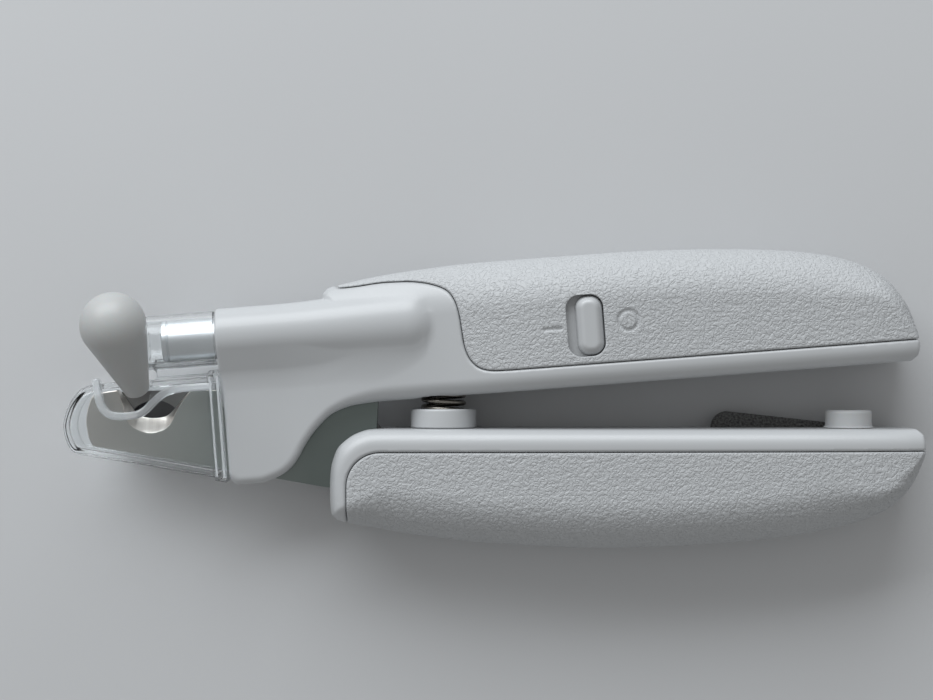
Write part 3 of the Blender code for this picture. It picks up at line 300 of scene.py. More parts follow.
def meet(a, b, radius):
    """Both fields at once, with a round edge where they meet."""
    return (np.minimum(np.maximum(a, b), -radius)
            + np.hypot(np.maximum(a + radius, 0.0), np.maximum(b + radius, 0.0)))


def join(a, b, radius):
    """Either field, with a round fillet of that radius in the corner between them."""
    return (np.maximum(np.minimum(a, b), radius)
            - np.hypot(np.maximum(radius - a, 0.0), np.maximum(radius - b, 0.0)))


def rotate(a, b, angle):
    """A point turned by an angle; TILT takes it from the body's frame to the row frame."""
    c, s = math.cos(angle), math.sin(angle)
    return c * a - s * b, s * a + c * b


def span(value, low, high):
    """Distance to the slab between two heights."""
    return np.maximum(low - value, value - high)


def rectangle(x, y, centre, size, corner):
    """Distance to a rectangle with round corners."""
    qx = np.abs(x - centre[0]) - size[0] / 2 + corner
    qy = np.abs(y - centre[1]) - size[1] / 2 + corner
    return (np.hypot(np.maximum(qx, 0.0), np.maximum(qy, 0.0))
            + np.minimum(np.maximum(qx, qy), 0.0) - corner)


def rod(a, b, centre, radius):
    """Distance to an endless rod, across its two cross directions."""
    return np.hypot(a - centre[0], b - centre[1]) - radius


# ---- meshes ----
def place_object(name, data):
    """A new object with that data, in the scene."""
    made = bpy.data.objects.new(name, data)
    bpy.context.scene.collection.objects.link(made)
    return made


def add_object(name, points, faces):
    """A smooth-shaded mesh object from points in millimetres."""
    mesh = bpy.data.meshes.new(name)
    mesh.from_pydata([Vector(p) * MM for p in points], [], faces)
    mesh.shade_smooth()
    return place_object(name, mesh)


def quads_object(name, points, quads):
    """The same from arrays of points and four-cornered faces."""
    mesh = bpy.data.meshes.new(name)
    mesh.vertices.add(len(points))
    mesh.vertices.foreach_set("co", (points * MM).astype(np.float32).ravel())
    mesh.loops.add(quads.size)
    mesh.loops.foreach_set("vertex_index", quads.astype(np.int32).ravel())
    mesh.polygons.add(len(quads))
    mesh.polygons.foreach_set("loop_start", np.arange(0, quads.size, 4, dtype=np.int32))
    mesh.update(calc_edges=True)
    mesh.validate()
    mesh.shade_smooth()
    return place_object(name, mesh)


def gradient(field, points, reach=0.02):
    """Slope of a field at points, by differences."""
    slope = np.zeros_like(points)
    for axis in range(3):
        ahead, behind = points.copy(), points.copy()
        ahead[:, axis] += reach
        behind[:, axis] -= reach
        slope[:, axis] = (field(*ahead.T) - field(*behind.T)) / (2 * reach)
    return slope


def surface(name, field, low, high, step, relief=None, frame_matrix=None):
    """Closed mesh of the zero surface of a field, one point in each cell it crosses.

    Points are then moved onto the surface, and relief(points, normals) may raise them.
    """
    axes = [np.arange(a - step, b + 1.5 * step, step) for a, b in zip(low, high)]
    x, y, z = axes[0][:, None, None], axes[1][None, :, None], axes[2][None, None, :]
    values = np.empty([len(a) for a in axes], np.float32)
    for start in range(0, len(axes[0]), 24):
        values[start:start + 24] = field(x[start:start + 24], y, z)
    inside = values < 0.0
    shape = np.array(inside.shape) - 1
    count = np.zeros(shape, np.int8)
    for i, j, k in product((0, 1), repeat=3):
        count += inside[i:i + shape[0], j:j + shape[1], k:k + shape[2]]
    cells = np.argwhere((count > 0) & (count < 8))
    index = np.full(shape, -1, np.int32)
    index[tuple(cells.T)] = np.arange(len(cells))
    total, hits = np.zeros((len(cells), 3)), np.zeros(len(cells))
    unit = np.eye(3, dtype=int)
    for axis in range(3):
        along = unit[axis]
        others = [unit[i] for i in range(3) if i != axis]
        for offset in (0 * along, others[0], others[1], others[0] + others[1]):
            first = values[tuple((cells + offset).T)]
            second = values[tuple((cells + offset + along).T)]
            crosses = (first < 0.0) != (second < 0.0)
            share = np.where(crosses, first / np.where(crosses, first - second, 1.0), 0.0)
            total += np.where(crosses[:, None], offset + share[:, None] * along, 0.0)
            hits += crosses
    points = np.array([a[0] for a in axes]) + step * (cells + total / hits[:, None])
    quads = []
    for axis in range(3):
        b, c = unit[(axis + 1) % 3], unit[(axis + 2) % 3]
        ahead = np.take(inside, range(1, inside.shape[axis]), axis)
        here = np.take(inside, range(inside.shape[axis] - 1), axis)
        edges = np.argwhere(here != ahead)
        corners = [index[tuple((edges - back).T)] for back in (b + c, c, 0 * c, b)]
        faces = np.stack(corners, axis=1)
        outward = here[tuple(edges.T)]
        quads.append(np.where(outward[:, None], faces, faces[:, ::-1]))
    quads = np.concatenate(quads)
    for _ in range(2):
        slope = gradient(field, points)
        length = np.maximum((slope ** 2).sum(axis=1), 0.05)
        move = -field(*points.T)[:, None] * slope / length[:, None]
        size = np.linalg.norm(move, axis=1, keepdims=True)
        points += move * np.minimum(1.0, 0.4 * step / np.maximum(size, 1e-9))
    if relief:
        slope = gradient(field, points, 0.1)
        normals = slope / np.maximum(np.linalg.norm(slope, axis=1, keepdims=True), 1e-9)
        points = points + normals * relief(points)[:, None]
    made = quads_object(name, points, quads)
    if frame_matrix:
        made.data.transform(frame_matrix)
    return made


def halves(owner, part, field, low, high, overlap, step, reliefs=(None, None), frame_matrix=None):
    """Front and back piece of a handle from field(side), within bounds given in the table's plane."""
    made = []
    for half, side, relief in (("front", 1, reliefs[0]), ("back", -1, reliefs[1])):
        bottom, top = (MID_Z - overlap, FRONT_Z) if side > 0 else (BACK_Z, MID_Z + overlap)
        made.append(surface(f"{owner}_{half}_{part}_fine", field(side), (*low, bottom), (*high, top),
                            step, relief, frame_matrix))
    return made


def stack(name, rings):
    """A mesh through rings of points, with flat caps at both ends."""
    count = len(rings[0])
    points = [p for ring in rings for p in ring]
    faces = [list(range(count))[::-1], list(range(len(points) - count, len(points)))]
    for r in range(len(rings) - 1):
        for i in range(count):
            a, b = r * count + i, r * count + (i + 1) % count
            faces.append((a, b, b + count, a + count))
    return add_object(name, points, faces)


def turned(name, profile, base, direction, segments=72):
    """A turned piece: profile is (radius, distance along the axis)."""
    axis = Vector(direction).normalized()
    side = axis.orthogonal().normalized()
    other = axis.cross(side)
    rings = []
    for radius, distance in profile:
        centre = Vector(base) + axis * distance
        rings.append([centre + side * a + other * b
                      for a, b in arc((0, 0), radius, 0, 360, segments)[:-1]])
    made = stack(name, rings)
    made.data.set_sharp_from_angle(angle=math.radians(35))
    return made


def arc(centre, radius, start, end, count):
    """Points along an arc, angles in degrees."""
    angles = [math.radians(start + (end - start) * i / count) for i in range(count + 1)]
    return [(centre[0] + radius * math.cos(a), centre[1] + radius * math.sin(a)) for a in angles]


# ---- handle forms ----
body_half, lever_half = curve_through(BODY_HALF), curve_through(LEVER_HALF)


def handle_plans(outer, inner, start, end, side):
    """Plans of the region within a handle's outer edge, and of the one beyond its inner edge."""
    outer, inner = curve_through(outer), curve_through(inner)
    # places along the handle, denser where its outline turns round the ends
    along = np.unique(np.concatenate((np.arange(start, end, 0.8), np.linspace(start, start + 4, 30),
                                      end - np.linspace(0, 2.4, 20) ** 2 * 0.7)))
    outside = [(x, side * outer(x)) for x in along]
    corner = [(x, side * y) for x, y in
              arc((end - END_CORNER, inner(end) + END_CORNER), END_CORNER, 0, -45, 5)]
    within = outside + corner + [(end - 45.0, -side * 45.0), (start, -side * 45.0)]
    face = [(x, side * inner(x)) for x in along]
    beyond = face + [(end + 30.0, face[-1][1]), (end + 30.0, side * 60.0), (start, side * 60.0)]
    return Plan(within), Plan(beyond)


BODY_OUTSIDE, BODY_INSIDE = handle_plans(BODY_OUTER, BODY_INNER, -60.0, BODY_END_U, 1.0)
LEVER_OUTSIDE, LEVER_INSIDE = handle_plans(LEVER_OUTER, LEVER_INNER, -31.5, 79.7, -1.0)


def far_curve(depth, height, half, run):
    """Field of the broad curve from the flat top, of that half height, down to the outer edge."""
    across = np.maximum(run - depth, 0.0) / run
    up = np.maximum(height, 0.01) / half
    radius = np.hypot(across, up)
    return radius * (radius - 1) / np.maximum(np.hypot(across / run, up / half), 1e-6)


def curve_run(along, across):
    """Width of the broad curve: it closes up round the handle's end, most near the inner face."""
    tip = 1.4 + 2.6 * smooth(4.5, 11.0, across) + 5.0 * smooth(11.0, 21.0, across)
    return FAR_CURVE + (tip - FAR_CURVE) * smooth(60.0, 74.0, along)


def body_form(u, v, z):
    """The upper handle without the light's housing."""
    top = far_curve(-BODY_OUTSIDE(u, v), np.abs(z - MID_Z), body_half(u), curve_run(u, v))
    corner = COLLAR_CORNER + (NEAR_CORNER - COLLAR_CORNER) * smooth(-34.0, -18.0, u)
    return meet(meet(top, BODY_INSIDE(u, v), corner), COLLAR_U - u, 0.6)


def lever_form(x, y, z):
    """The lower handle, with a small corner round its front end."""
    run = curve_run(x, -y - 4.3)
    run = NEAR_CORNER + (run - NEAR_CORNER) * smooth(-31.0, -18.0, x)
    top = far_curve(-LEVER_OUTSIDE(x, y), np.abs(z - MID_Z), lever_half(x), run)
    return meet(top, LEVER_INSIDE(x, y), NEAR_CORNER)


def flank(across, height, tilt, radius):
    """A plane falling away from a rod, starting where the rod itself slopes as much."""
    along = across * np.cos(tilt) - height * np.sin(tilt)
    above = height * np.cos(tilt) + across * np.sin(tilt) - radius
    return both(above, -along)


def light_housing(u, v, z):
    """The round housing of the light, its nose, and the slopes down from it on all sides."""
    radius = TUBE_R + TUBE_GROWTH * smooth(-40.0, TUBE_END_U, u)
    past = np.maximum(u - TUBE_END_U, 0.0)
    across, height = v - LIGHT_V, z - LIGHT_Z
    tube = np.sqrt(across ** 2 + height ** 2 + past ** 2) - radius
    ramp = RAMP_TILT[0] + (RAMP_TILT[1] - RAMP_TILT[0]) * smooth(-44.0, -20.0, u)
    tilt = np.maximum(ramp, OUTER_TILT * smooth(-2.0, 3.0, across))
    tilt = np.radians(np.maximum(tilt, NOSE_TILT * smooth(0.0, 4.0, past)))
    sunk = 0.25 * smooth(-36.0, -26.0, u)
    slopes = flank(np.hypot(across, past), height, tilt, radius - sunk)
    shoulder = (BODY_OUTSIDE(u, v) + 1.0) * 0.75 + (height - 2.0) * 0.66
    shoulder = both(shoulder, BODY_OUTSIDE(u, v) + 0.6)
    slopes = np.where(across > 0.0, meet(slopes, shoulder, 2.0), slopes)
    slopes = both(slopes, MID_Z + 1.0 - z, BODY_INSIDE(u, v) + 2.0)
    crease = 0.01 + 0.2 * smooth(-34.0, -26.0, u)
    return meet(join(tube, slopes, crease), TUBE_START_U - u, 0.5)


def body_with_tube(u, v, z):
    """The upper handle, flowing up into the housing of the light."""
    fillet = 0.3 + 0.7 * smooth(LIGHT_V + 1.0, LIGHT_V - 3.0, v) * smooth(-10.0, -22.0, u)
    return join(body_form(u, v, z), light_housing(u, v, z), fillet)


def body_grip_outline():
    right, top = 95.0, 45.0
    (u, v), height = BODY_GRIP_BORDER[0], 0.8
    end = arc((u, v + height), height, 180, 265, 8)
    return ([(u - height, top)] + end + rounded(BODY_GRIP_BORDER)
            + [(right, BODY_INNER_V + GRIP_BAND - 0.3), (right, top)])


def lever_grip_outline():
    top = LEVER_INNER_Y - GRIP_BAND
    corner = arc((LEVER_GRIP_LEFT_X + LEVER_GRIP_CORNER, top - LEVER_GRIP_CORNER),
                 LEVER_GRIP_CORNER, 90, 180, 12)
    return [(95.0, -50.0), (95.0, top + 0.3)] + corner + [(LEVER_GRIP_LEFT_X, -50.0)]


BODY_GRIP = Plan(body_grip_outline(), margin=2.0)
LEVER_GRIP = Plan(lever_grip_outline(), margin=2.0)
BLADE_SLOT_PLAN = Plan(BLADE_SLOT, margin=2.0)


def switch_window(u, v):
    return rectangle(u, v, SWITCH_UV, SWITCH_WINDOW, WINDOW_CORNER)


def door_plan(u, v, with_tab=True):
    """Plan of the battery door, with the tab that its screw goes through."""
    plan = rectangle(u, v, DOOR_CENTRE, DOOR_SIZE, 2.0)
    if with_tab:
        plan = join(plan, rectangle(u, v, TAB_CENTRE, TAB_SIZE, 2.0), 0.8)
    return plan


def hollow_shell(form, bare, region, along):
    """A shell with room for its grip, hollow along part of its length."""
    return cut(meet(form, -groove_room(region, bare), 0.25), both(bare + WALL, along))


def screw_heads(a, b, z, places):
    """Holes in the back for the heads of screws."""
    return [both(rod(a, b, place, SCREW_HEAD_R), z - 6.0) for place in places]


def screw_room(a, b, z, place):
    """Hole for a screw's shaft and head, open at the back."""
    shaft = both(rod(a, b, place, SCREW_HOLE_R), z - 14.8)
    head = both(rod(a, b, place, SCREW_HEAD_R), z - 3.45)
    return np.minimum(shaft, head)


def with_posts(shell, a, b, z, form, places):
    """A shell with a post round each screw, and the screws' holes."""
    for place in places:
        post = both(rod(a, b, place, POST_R), form + GRIP_DEPTH + GROOVE,
                    span(z, MID_Z - 9.0, MID_Z + 9.0))
        shell = cut(np.minimum(shell, post), screw_room(a, b, z, place))
    return shell


def file_slot(x, y, z, start):
    """Room for the nail file from start on, open at the end of the handle."""
    return both(start - x, FILE_LOW.y - GROOVE - y, span(z, FILE_LOW.z - GAP, FILE_HIGH.z + GAP))


def groove_room(region, form):
    """Room for a grip in its shell: a V-shaped groove above, a close fit below."""
    width = 0.1 + 0.2 * smooth(-0.6, -0.1, form)
    return both(region - width, -(form + GRIP_DEPTH + GROOVE))


# ---- relief of the grips ----
def leather(points):
    """Embossed leather grain: short worm-like wrinkles, less than 1 mm apart."""
    noise.seed_set(GRAIN_SEED)        # without a seed, noise_vector follows the clock
    heights = np.empty(len(points))
    for i, p in enumerate(points):
        place = Vector(p)
        bent = place * 1.25 + noise.noise_vector(place * 0.8) * 0.7
        wrinkle = abs(noise.noise(bent))
        fold = abs(noise.noise(bent * 1.6 + Vector((7.3, 2.1, 5.9))))
        heights[i] = min(wrinkle / 0.22, 1.0) * 0.6 + min(fold / 0.26, 1.0) * 0.4
    return heights


def grain(points, fade):
    """How far the leather grain raises the surface, where fade lets it."""
    return (leather(points) - 0.75) * GRAIN_HEIGHT * fade


def switch_marks(u, v):
    """Distance to the strokes of the ring and the bar beside the switch."""
    ring = np.abs(rod(u, v, OFF_MARK_UV, MARK_SIZE / 2)) - 0.28
    return np.minimum(ring, rectangle(u, v, ON_MARK_UV, (MARK_SIZE, 0.56), 0.2))


def body_front_relief(points):
    u, v, z = points.T
    marks = switch_marks(u, v)
    border = np.minimum(-BODY_GRIP(u, v), switch_window(u, v))
    fade = smooth(0.15, 0.8, border) * smooth(0.1, 0.5, marks)
    fade = fade * smooth(MID_Z + 0.2, MID_Z + 1.2, z)
    return grain(points, fade) - MARK_DEPTH * (1 - smooth(-0.1, 0.14, marks))


def body_back_relief(points):
    u, v, z = points.T
    border = np.minimum(-BODY_GRIP(u, v), np.abs(door_plan(u, v)))
    fade = smooth(0.15, 0.8, border) * smooth(MID_Z - 0.2, MID_Z - 1.2, z)
    return grain(points, fade)


def lever_relief(points):
    x, y, z = points.T
    fade = smooth(0.15, 0.8, -LEVER_GRIP(x, y)) * smooth(0.2, 1.2, np.abs(z - MID_Z))
    return grain(points, fade)


# ---- body pieces ----
def grip_field(side, form_of, region, holes):
    """Half of a grip: the skin of a handle within its region, less its holes."""
    def field(a, b, z):
        form = form_of(a, b, z)
        grip = both(meet(form, region(a, b), 0.35), -(form + GRIP_DEPTH))
        return both(cut(grip, *holes(side, a, b, z)), side * (MID_Z - z) + GAP)
    return field


def body_shell_field(side):
    def field(u, v, z):
        form = body_with_tube(u, v, z)
        bare = body_form(u, v, z)
        shell = hollow_shell(form, bare, BODY_GRIP(u, v), span(u, -6.0, 76.5))
        bore_r = np.where(u < -41.3, LIGHT_BORE_R, np.where(u < -15.5, 4.6, 3.0))
        bore = both(rod(v, z, (LIGHT_V, LIGHT_Z), bore_r), u + 6.0)
        x, y = rotate(u, v, TILT)
        blades = both(BLADE_SLOT_PLAN(x, y), span(z, *BLADE_SLOT_Z))
        near = np.clip(x, SPRING_X - SPRING_SWING, SPRING_X)
        spring = both(np.hypot(x - near, z - MID_Z) - (SPRING_R + SPRING_ROOM), y - 6.8)
        shell = cut(shell, bore, blades, spring)
        if side > 0:
            skirt_room = rectangle(u, v, SWITCH_UV, SKIRT_ROOM, 1.0)
            shell = cut(shell, both(np.minimum(switch_window(u, v), skirt_room), 15.0 - z))
        else:
            shell = cut(shell, both(door_plan(u, v, False) - GROOVE, z - 6.0))
            shell = cut(shell, both(rod(u, v, DOOR_SCREW, 0.9), z - 6.0))
        shell = with_posts(shell, u, v, z, bare, BODY_SCREWS)
        return both(shell, side * (MID_Z - z) + 0.03)
    return field


def body_shells():
    return halves("body", "shell", body_shell_field, (-52.0, -13.0), (81.0, 26.5), 0.2, SHELL_STEP,
                  frame_matrix=TO_ROW)


def body_grip_holes(side, u, v, z):
    if side > 0:
        return [switch_window(u, v)]
    return [both(door_plan(u, v) - GROOVE, z - 6.0)] + screw_heads(u, v, z, BODY_SCREWS)


def body_grips():
    return halves("body", "grip", lambda side: grip_field(side, body_form, BODY_GRIP, body_grip_holes),
                  (-29.0, 4.0), (81.0, 26.5), 0.0, GRIP_STEP,
                  (body_front_relief, body_back_relief), TO_ROW)


def battery_door():
    """The battery door, flush with the back grip and grained like it."""
    def field(u, v, z):
        form = body_form(u, v, z)
        deep = both(door_plan(u, v, False), -(form + DOOR_DEPTH))
        thin = both(door_plan(u, v), -(form + GRIP_DEPTH))
        door = meet(form, np.minimum(deep, thin), 0.2)
        recess = both(rod(u, v, DOOR_SCREW, 1.8), z - 0.7)
        return both(cut(door, recess, rod(u, v, DOOR_SCREW, 0.95)), z - 6.0)

    def relief(points):
        u, v, z = points.T
        fade = smooth(0.2, 0.9, np.minimum(-door_plan(u, v), rod(u, v, DOOR_SCREW, 2.2)))
        return grain(points, fade * smooth(1.0, 0.4, z))

    return surface("battery_door_fine", field, (25.0, 6.0, -0.3), (52.0, 20.0, 5.6), GRIP_STEP,
                   relief, TO_ROW)


def switch_knob():
    """Sliding button with a chamfered edge and round corners, skirted under the shell."""
    low, high = box_mm("switch_knob")
    place = TO_BODY @ ((low + high) / 2) - Vector((0.6, 0.1, 0.0))
    top = high.z

    def field(u, v, z):
        body = rectangle(u, v, place, KNOB_SIZE, KNOB_CORNER)
        chamfer = (body + (z - top) + 1.1) * 0.7071
        knob = meet(meet(body, z - top, 0.25), chamfer, 0.3)
        knob = both(knob, low.z + 0.5 - z)
        skirt = both(rectangle(u, v, place, SKIRT_SIZE, 1.0), span(z, *SKIRT_Z))
        return np.minimum(knob, skirt)

    corner = Vector((5.9, 6.7, 0.0))
    return surface("switch_knob_fine", field, place - corner + Vector((0, 0, low.z - place.z - 0.2)),
                   place + corner + Vector((0, 0, top - place.z + 0.2)), FINE_STEP,
                   frame_matrix=TO_ROW)


# ---- lever pieces ----
def lever_shell_field(side):
    moving_low = box_mm("moving_blade")[0]

    def field(x, y, z):
        form = lever_form(x, y, z)
        shell = hollow_shell(form, form, LEVER_GRIP(x, y), span(x, 4.0, 75.5))
        for low, high, depth in ((SEAT_LOW, SEAT_HIGH, 0.6), (BUMPER_LOW, BUMPER_HIGH, 1.0)):
            radius = (high.x - low.x) / 2 - depth
            centre = (low.x + high.x) / 2
            shell = cut(shell, both(rod(x, z, (centre, MID_Z), radius), low.y - GAP - y))
        if side > 0:
            room = polygon_distance(FIXED_BLADE_ROOM, x, y)
            shell = cut(shell, both(room, z - BLADE_SLOT_Z[1]))
        else:
            room = polygon_distance(MOVING_BLADE_ROOM, x, y)
            shell = cut(shell, both(room, BLADE_SLOT_Z[0] - z))
            shell = cut(shell, file_slot(x, y, z, FILE_LOW.x - GROOVE))
        heads = both(rod(x, y, PIVOT, 4.1), span(z, moving_low.z - 1.8, 13.6))
        shell = cut(shell, heads)
        shell = with_posts(shell, x, y, z, form, LEVER_SCREWS)
        return both(shell, side * (MID_Z - z) + 0.03)
    return field


def lever_shells():
    return halves("lever", "shell", lever_shell_field, (-32.2, -28.5), (81.0, -5.0), 0.2, SHELL_STEP)


def lever_grip_holes(side, x, y, z):
    return [] if side > 0 else screw_heads(x, y, z, LEVER_SCREWS) + [file_slot(x, y, z, 70.0)]


def lever_grips():
    return halves("lever", "grip", lambda side: grip_field(side, lever_form, LEVER_GRIP, lever_grip_holes),
                  (-28.0, -28.5), (81.0, -8.5), 0.0, GRIP_STEP, (lever_relief, lever_relief))


def spring_seat():
    """Straight round boss that holds the foot of the spring."""
    radius = (SEAT_HIGH.x - SEAT_LOW.x) / 2
    top, bottom = SEAT_HIGH.y, SEAT_LOW.y
    bore = SPRING_R + SPRING_ROOM
    floor = SPRING_LOW.y - 0.6
    profile = [(radius - 0.75, bottom), (radius - 0.75, LEVER_INNER_Y + 0.1),
               (radius - 0.2, LEVER_INNER_Y + 0.1), (radius, LEVER_INNER_Y + 0.3)]
    profile += [(radius - 0.45 + a, top - 0.45 + b) for a, b in arc((0, 0), 0.45, 0, 90, 5)]
    profile += [(bore + 0.2, top), (bore, top - 0.2), (bore, floor), (0.05, floor)]
    return turned("spring_seat_fine", profile, (SPRING_X, 0.0, MID_Z), (0, 1, 0), 96)


def stop_bumper():
    """Soft stop with a round top edge and a small foot."""
    radius = (BUMPER_HIGH.x - BUMPER_LOW.x) / 2
    top, bottom = BUMPER_HIGH.y, BUMPER_LOW.y
    centre = (BUMPER_LOW.x + BUMPER_HIGH.x) / 2
    profile = [(radius - 1.15, bottom), (radius - 1.15, LEVER_INNER_Y + 0.1),
               (radius, LEVER_INNER_Y + 0.1), (radius, LEVER_INNER_Y + 0.2),
               (radius - 0.25, LEVER_INNER_Y + 0.4), (radius - 0.35, LEVER_INNER_Y + 0.8)]
    profile += [(radius - 1.0 + a, top - 0.65 + b) for a, b in arc((0, 0), 0.65, 0, 90, 8)]
    profile += [(1.4, top), (1.2, top - 0.25), (0.05, top - 0.3)]
    return turned("stop_bumper_fine", profile, (centre, 0.0, MID_Z), (0, 1, 0), 96)


def return_spring():
    """Open coil spring of round wire, its end turns closed up."""
    per_turn, sides = 40, 12
    low, high = SPRING_LOW.y + SPRING_WIRE_R, SPRING_HIGH.y - SPRING_WIRE_R
    count = SPRING_TURNS * per_turn
    rings = []
    for i in range(count + 1):
        share = i / count
        eased = share - 0.01 * math.sin(2 * math.pi * share)
        angle = 2 * math.pi * i / per_turn
        out = Vector((math.cos(angle), 0.0, math.sin(angle)))
        centre = Vector((SPRING_X, low + (high - low) * eased, MID_Z))
        centre += out * (SPRING_R - SPRING_WIRE_R)
        rings.append([centre + out * a + Vector((0.0, b, 0.0))
                      for a, b in arc((0, 0), SPRING_WIRE_R, 0, 360, sides)[:-1]])
    return stack("return_spring_fine", rings)


def nail_file():
    """Abrasive plate with softened edges and a rounded, raised thumb tip."""
    low, high = FILE_LOW, FILE_HIGH
    tip = arc((low.x + 3.0, high.y - 3.0), 3.0, 180, 80, 10)
    outline = ([(low.x, low.y), (high.x, low.y), (high.x, LEVER_INNER_Y - 3.4),
                (73.9, LEVER_INNER_Y - 0.3)] + tip[::-1])
    plan = Plan(outline, margin=2.0)

    def field(x, y, z):
        return meet(plan(x, y), span(z, low.z, high.z), 0.25)

    return surface("nail_file_fine", field, low - Vector((0.2, 0.2, 0.2)),
                   high + Vector((0.2, 0.2, 0.2)), 0.22)


# ---- blades ----
def fixed_blade():
    """Front blade: a steel plate with an upward notch, ground to an edge from the front."""
    low, high = box_mm("fixed_blade")
    outline = Plan(list(FIXED_BLADE[:10]) + rounded(FIXED_BLADE[10:]), margin=3.0)
    edge, ground = Plan(rounded(NOTCH_EDGE), margin=8.0), Plan(rounded(NOTCH_GROUND), margin=8.0)

    def field(x, y, z):
        share = np.clip((z - low.z - 0.2) / (high.z - low.z - 0.2), 0.0, 1.0)
        notch = edge(x, y) * (1 - share) + ground(x, y) * share
        plate = meet(outline(x, y), span(z, low.z, high.z), 0.12)
        return both(plate, -notch * 0.75)

    margin = Vector((0.3, 0.3, 0.3))
    return surface("fixed_blade_fine", field, low - margin, high + margin, 0.16)


# ---- light, cover, plug ----
def led_barrel():
    """Plated tube round the lamp, with a rolled front lip."""
    radius, wall = 3.8, 0.6
    start, end = -60.5, -42.0
    profile = [(radius - wall, end), (radius - wall, start + 0.4), (radius - wall + 0.15, start + 0.1),
               (radius - 0.3, start), (radius, start + 0.25), (radius, start + 1.0),
               (radius - 0.15, start + 1.1), (radius - 0.15, start + 1.3), (radius, start + 1.4),
               (radius, end)]
    made = turned("led_barrel_fine", profile, (0.0, LIGHT_V, LIGHT_Z), (1, 0, 0), 96)
    made.data.transform(TO_ROW)
    return made


COVER_PLAN = Plan(rounded(COVER_OUTLINE[2:], count=5) + list(COVER_OUTLINE[:2]), margin=6.0)


def cover_field():
    """Field of the clear cover: a box open towards the collar, and a sleeve round the light."""
    mouth = Plan(rounded(NAIL_MOUTH), margin=6.0)
    face, end = COLLAR_U - 0.3, TUBE_START_U - 0.3
    axis = (LIGHT_V, LIGHT_Z)

    def field(x, y, z):
        u, v = rotate(x, y, -TILT)
        plan = COVER_PLAN(x, y)
        box = meet(plan, span(z, *COVER_Z), 0.8)
        wide = COVER_PLAN(np.minimum(x, -51.0), y)
        floor, ceiling = COVER_Z[0] + COVER_WALL, COVER_Z[1] - COVER_WALL
        inside = meet(wide + COVER_WALL, span(z, floor, ceiling), 0.5)
        box = cut(box, inside, both(mouth(x, y), MID_Z - z))
        flange = both(meet(plan - 0.5, span(z, COVER_Z[0] - 0.5, COVER_Z[1] + 0.5), 0.4),
                      span(u, face - 2.2, face))
        box = both(cut(join(box, flange, 0.3), inside), u - face)
        sleeve = meet(rod(v, z, axis, SLEEVE_R), SLEEVE_START_U - u, 0.35)
        web = both(rectangle(v, z, (WEB_V, MID_Z), (WEB_WIDTH, 3.2), 0.3), WEB_START_U - u)
        top = cut(both(join(sleeve, web, 0.5), u - end), rod(v, z, axis, 4.0))
        return join(box, top, 0.4)
    return field


def blade_cover():
    return surface("blade_cover_fine", cover_field(), COVER_LOW - Vector((0.6, 0.9, 0.7)),
                   COVER_HIGH + Vector((0.6, 0.6, 0.9)), FINE_STEP)


def mouth_rim():
    """Raised lip round the nail opening, running on to two thin ribs beside the collar; the ribs are
    painted highlights, bright lines along the cover's flange edges.
    """
    path = rounded(MOUTH_RIM)
    outline = Plan(path + path[::-1], margin=4.0)
    top = COVER_Z[1] + 0.55

    def field(x, y, z):
        lip = meet(outline(x, y) - RIM_WIDTH / 2, span(z, COVER_Z[1] - COVER_WALL - 1.2, top), 0.5)
        u, _ = rotate(x, y, -TILT)
        ribs = np.minimum(*(span(u, COLLAR_U - far, COLLAR_U - near) for far, near in HIGHLIGHT_RIBS))
        ribs = both(COVER_PLAN(x, y) + 0.2, ribs, span(z, COVER_Z[1] - 0.2, top))
        return np.minimum(lip, ribs)

    return surface("mouth_rim_fine", field, (-75.0, -15.5, 12.0), (-48.0, 5.0, 16.0), FINE_STEP)


def nail_plug():
    """Drop-shaped soft plug: a ball that runs out in a straight cone."""
    axis = -Vector(JOINTS["plug_pull"]["axis"])
    ball, radius, length = Vector((-68.9, 13.5, 24.0)), 6.0, 15.6
    start, wide, tip = 1.4, 5.83, 2.38
    profile = [(max(radius * math.sin(math.radians(a)), 0.05), -radius * math.cos(math.radians(a)))
               for a in range(0, 103, 6)]
    profile += [(wide + (tip - wide) * t, start + (length - 0.5 - start) * t)
                for t in np.linspace(0.02, 1.0, 24)]
    profile += [(tip - 0.5 + a, length - 0.5 + b) for a, b in arc((0, 0), 0.5, 10, 90, 5)]
    return turned("nail_plug_fine", profile, ball, axis, 96)


# ---- materials ----
def material(name, colour, roughness, metallic=0.0, **inputs):
    """A Principled material; inputs sets further sockets by name."""
    made = bpy.data.materials.new(name)
    made.use_nodes = True
    shader = made.node_tree.nodes["Principled BSDF"]
    shader.inputs["Base Color"].default_value = (*colour, 1.0)
    shader.inputs["Roughness"].default_value = roughness
    shader.inputs["Metallic"].default_value = metallic
    for key, value in inputs.items():
        shader.inputs[key.replace("_", " ")].default_value = value
    return made


def add_node(made, kind, inputs, **settings):
    """A shader node; each input, by name or number, is a value or the output that feeds it."""
    added = made.node_tree.nodes.new("ShaderNode" + kind)
    for key, value in settings.items():
        setattr(added, key, value)
    for key, value in inputs.items():
        if isinstance(value, bpy.types.NodeSocket):
            made.node_tree.links.new(value, added.inputs[key])
        else:
            added.inputs[key].default_value = value
    return added


def feed(made, key, output):
    """Let a node's output set an input of the Principled shader."""
    made.node_tree.links.new(output, made.node_tree.nodes["Principled BSDF"].inputs[key])


def add_noise(made, scale, detail=4.0, stretch=(1.0, 1.0, 1.0)):
    """A noise texture over object coordinates, scaled per metre."""
    place = add_node(made, "TexCoord", {}).outputs["Object"]
    place = add_node(made, "Mapping", {"Vector": place, "Scale": stretch}).outputs["Vector"]
    return add_node(made, "TexNoise", {"Vector": place, "Scale": scale, "Detail": detail}).outputs["Fac"]


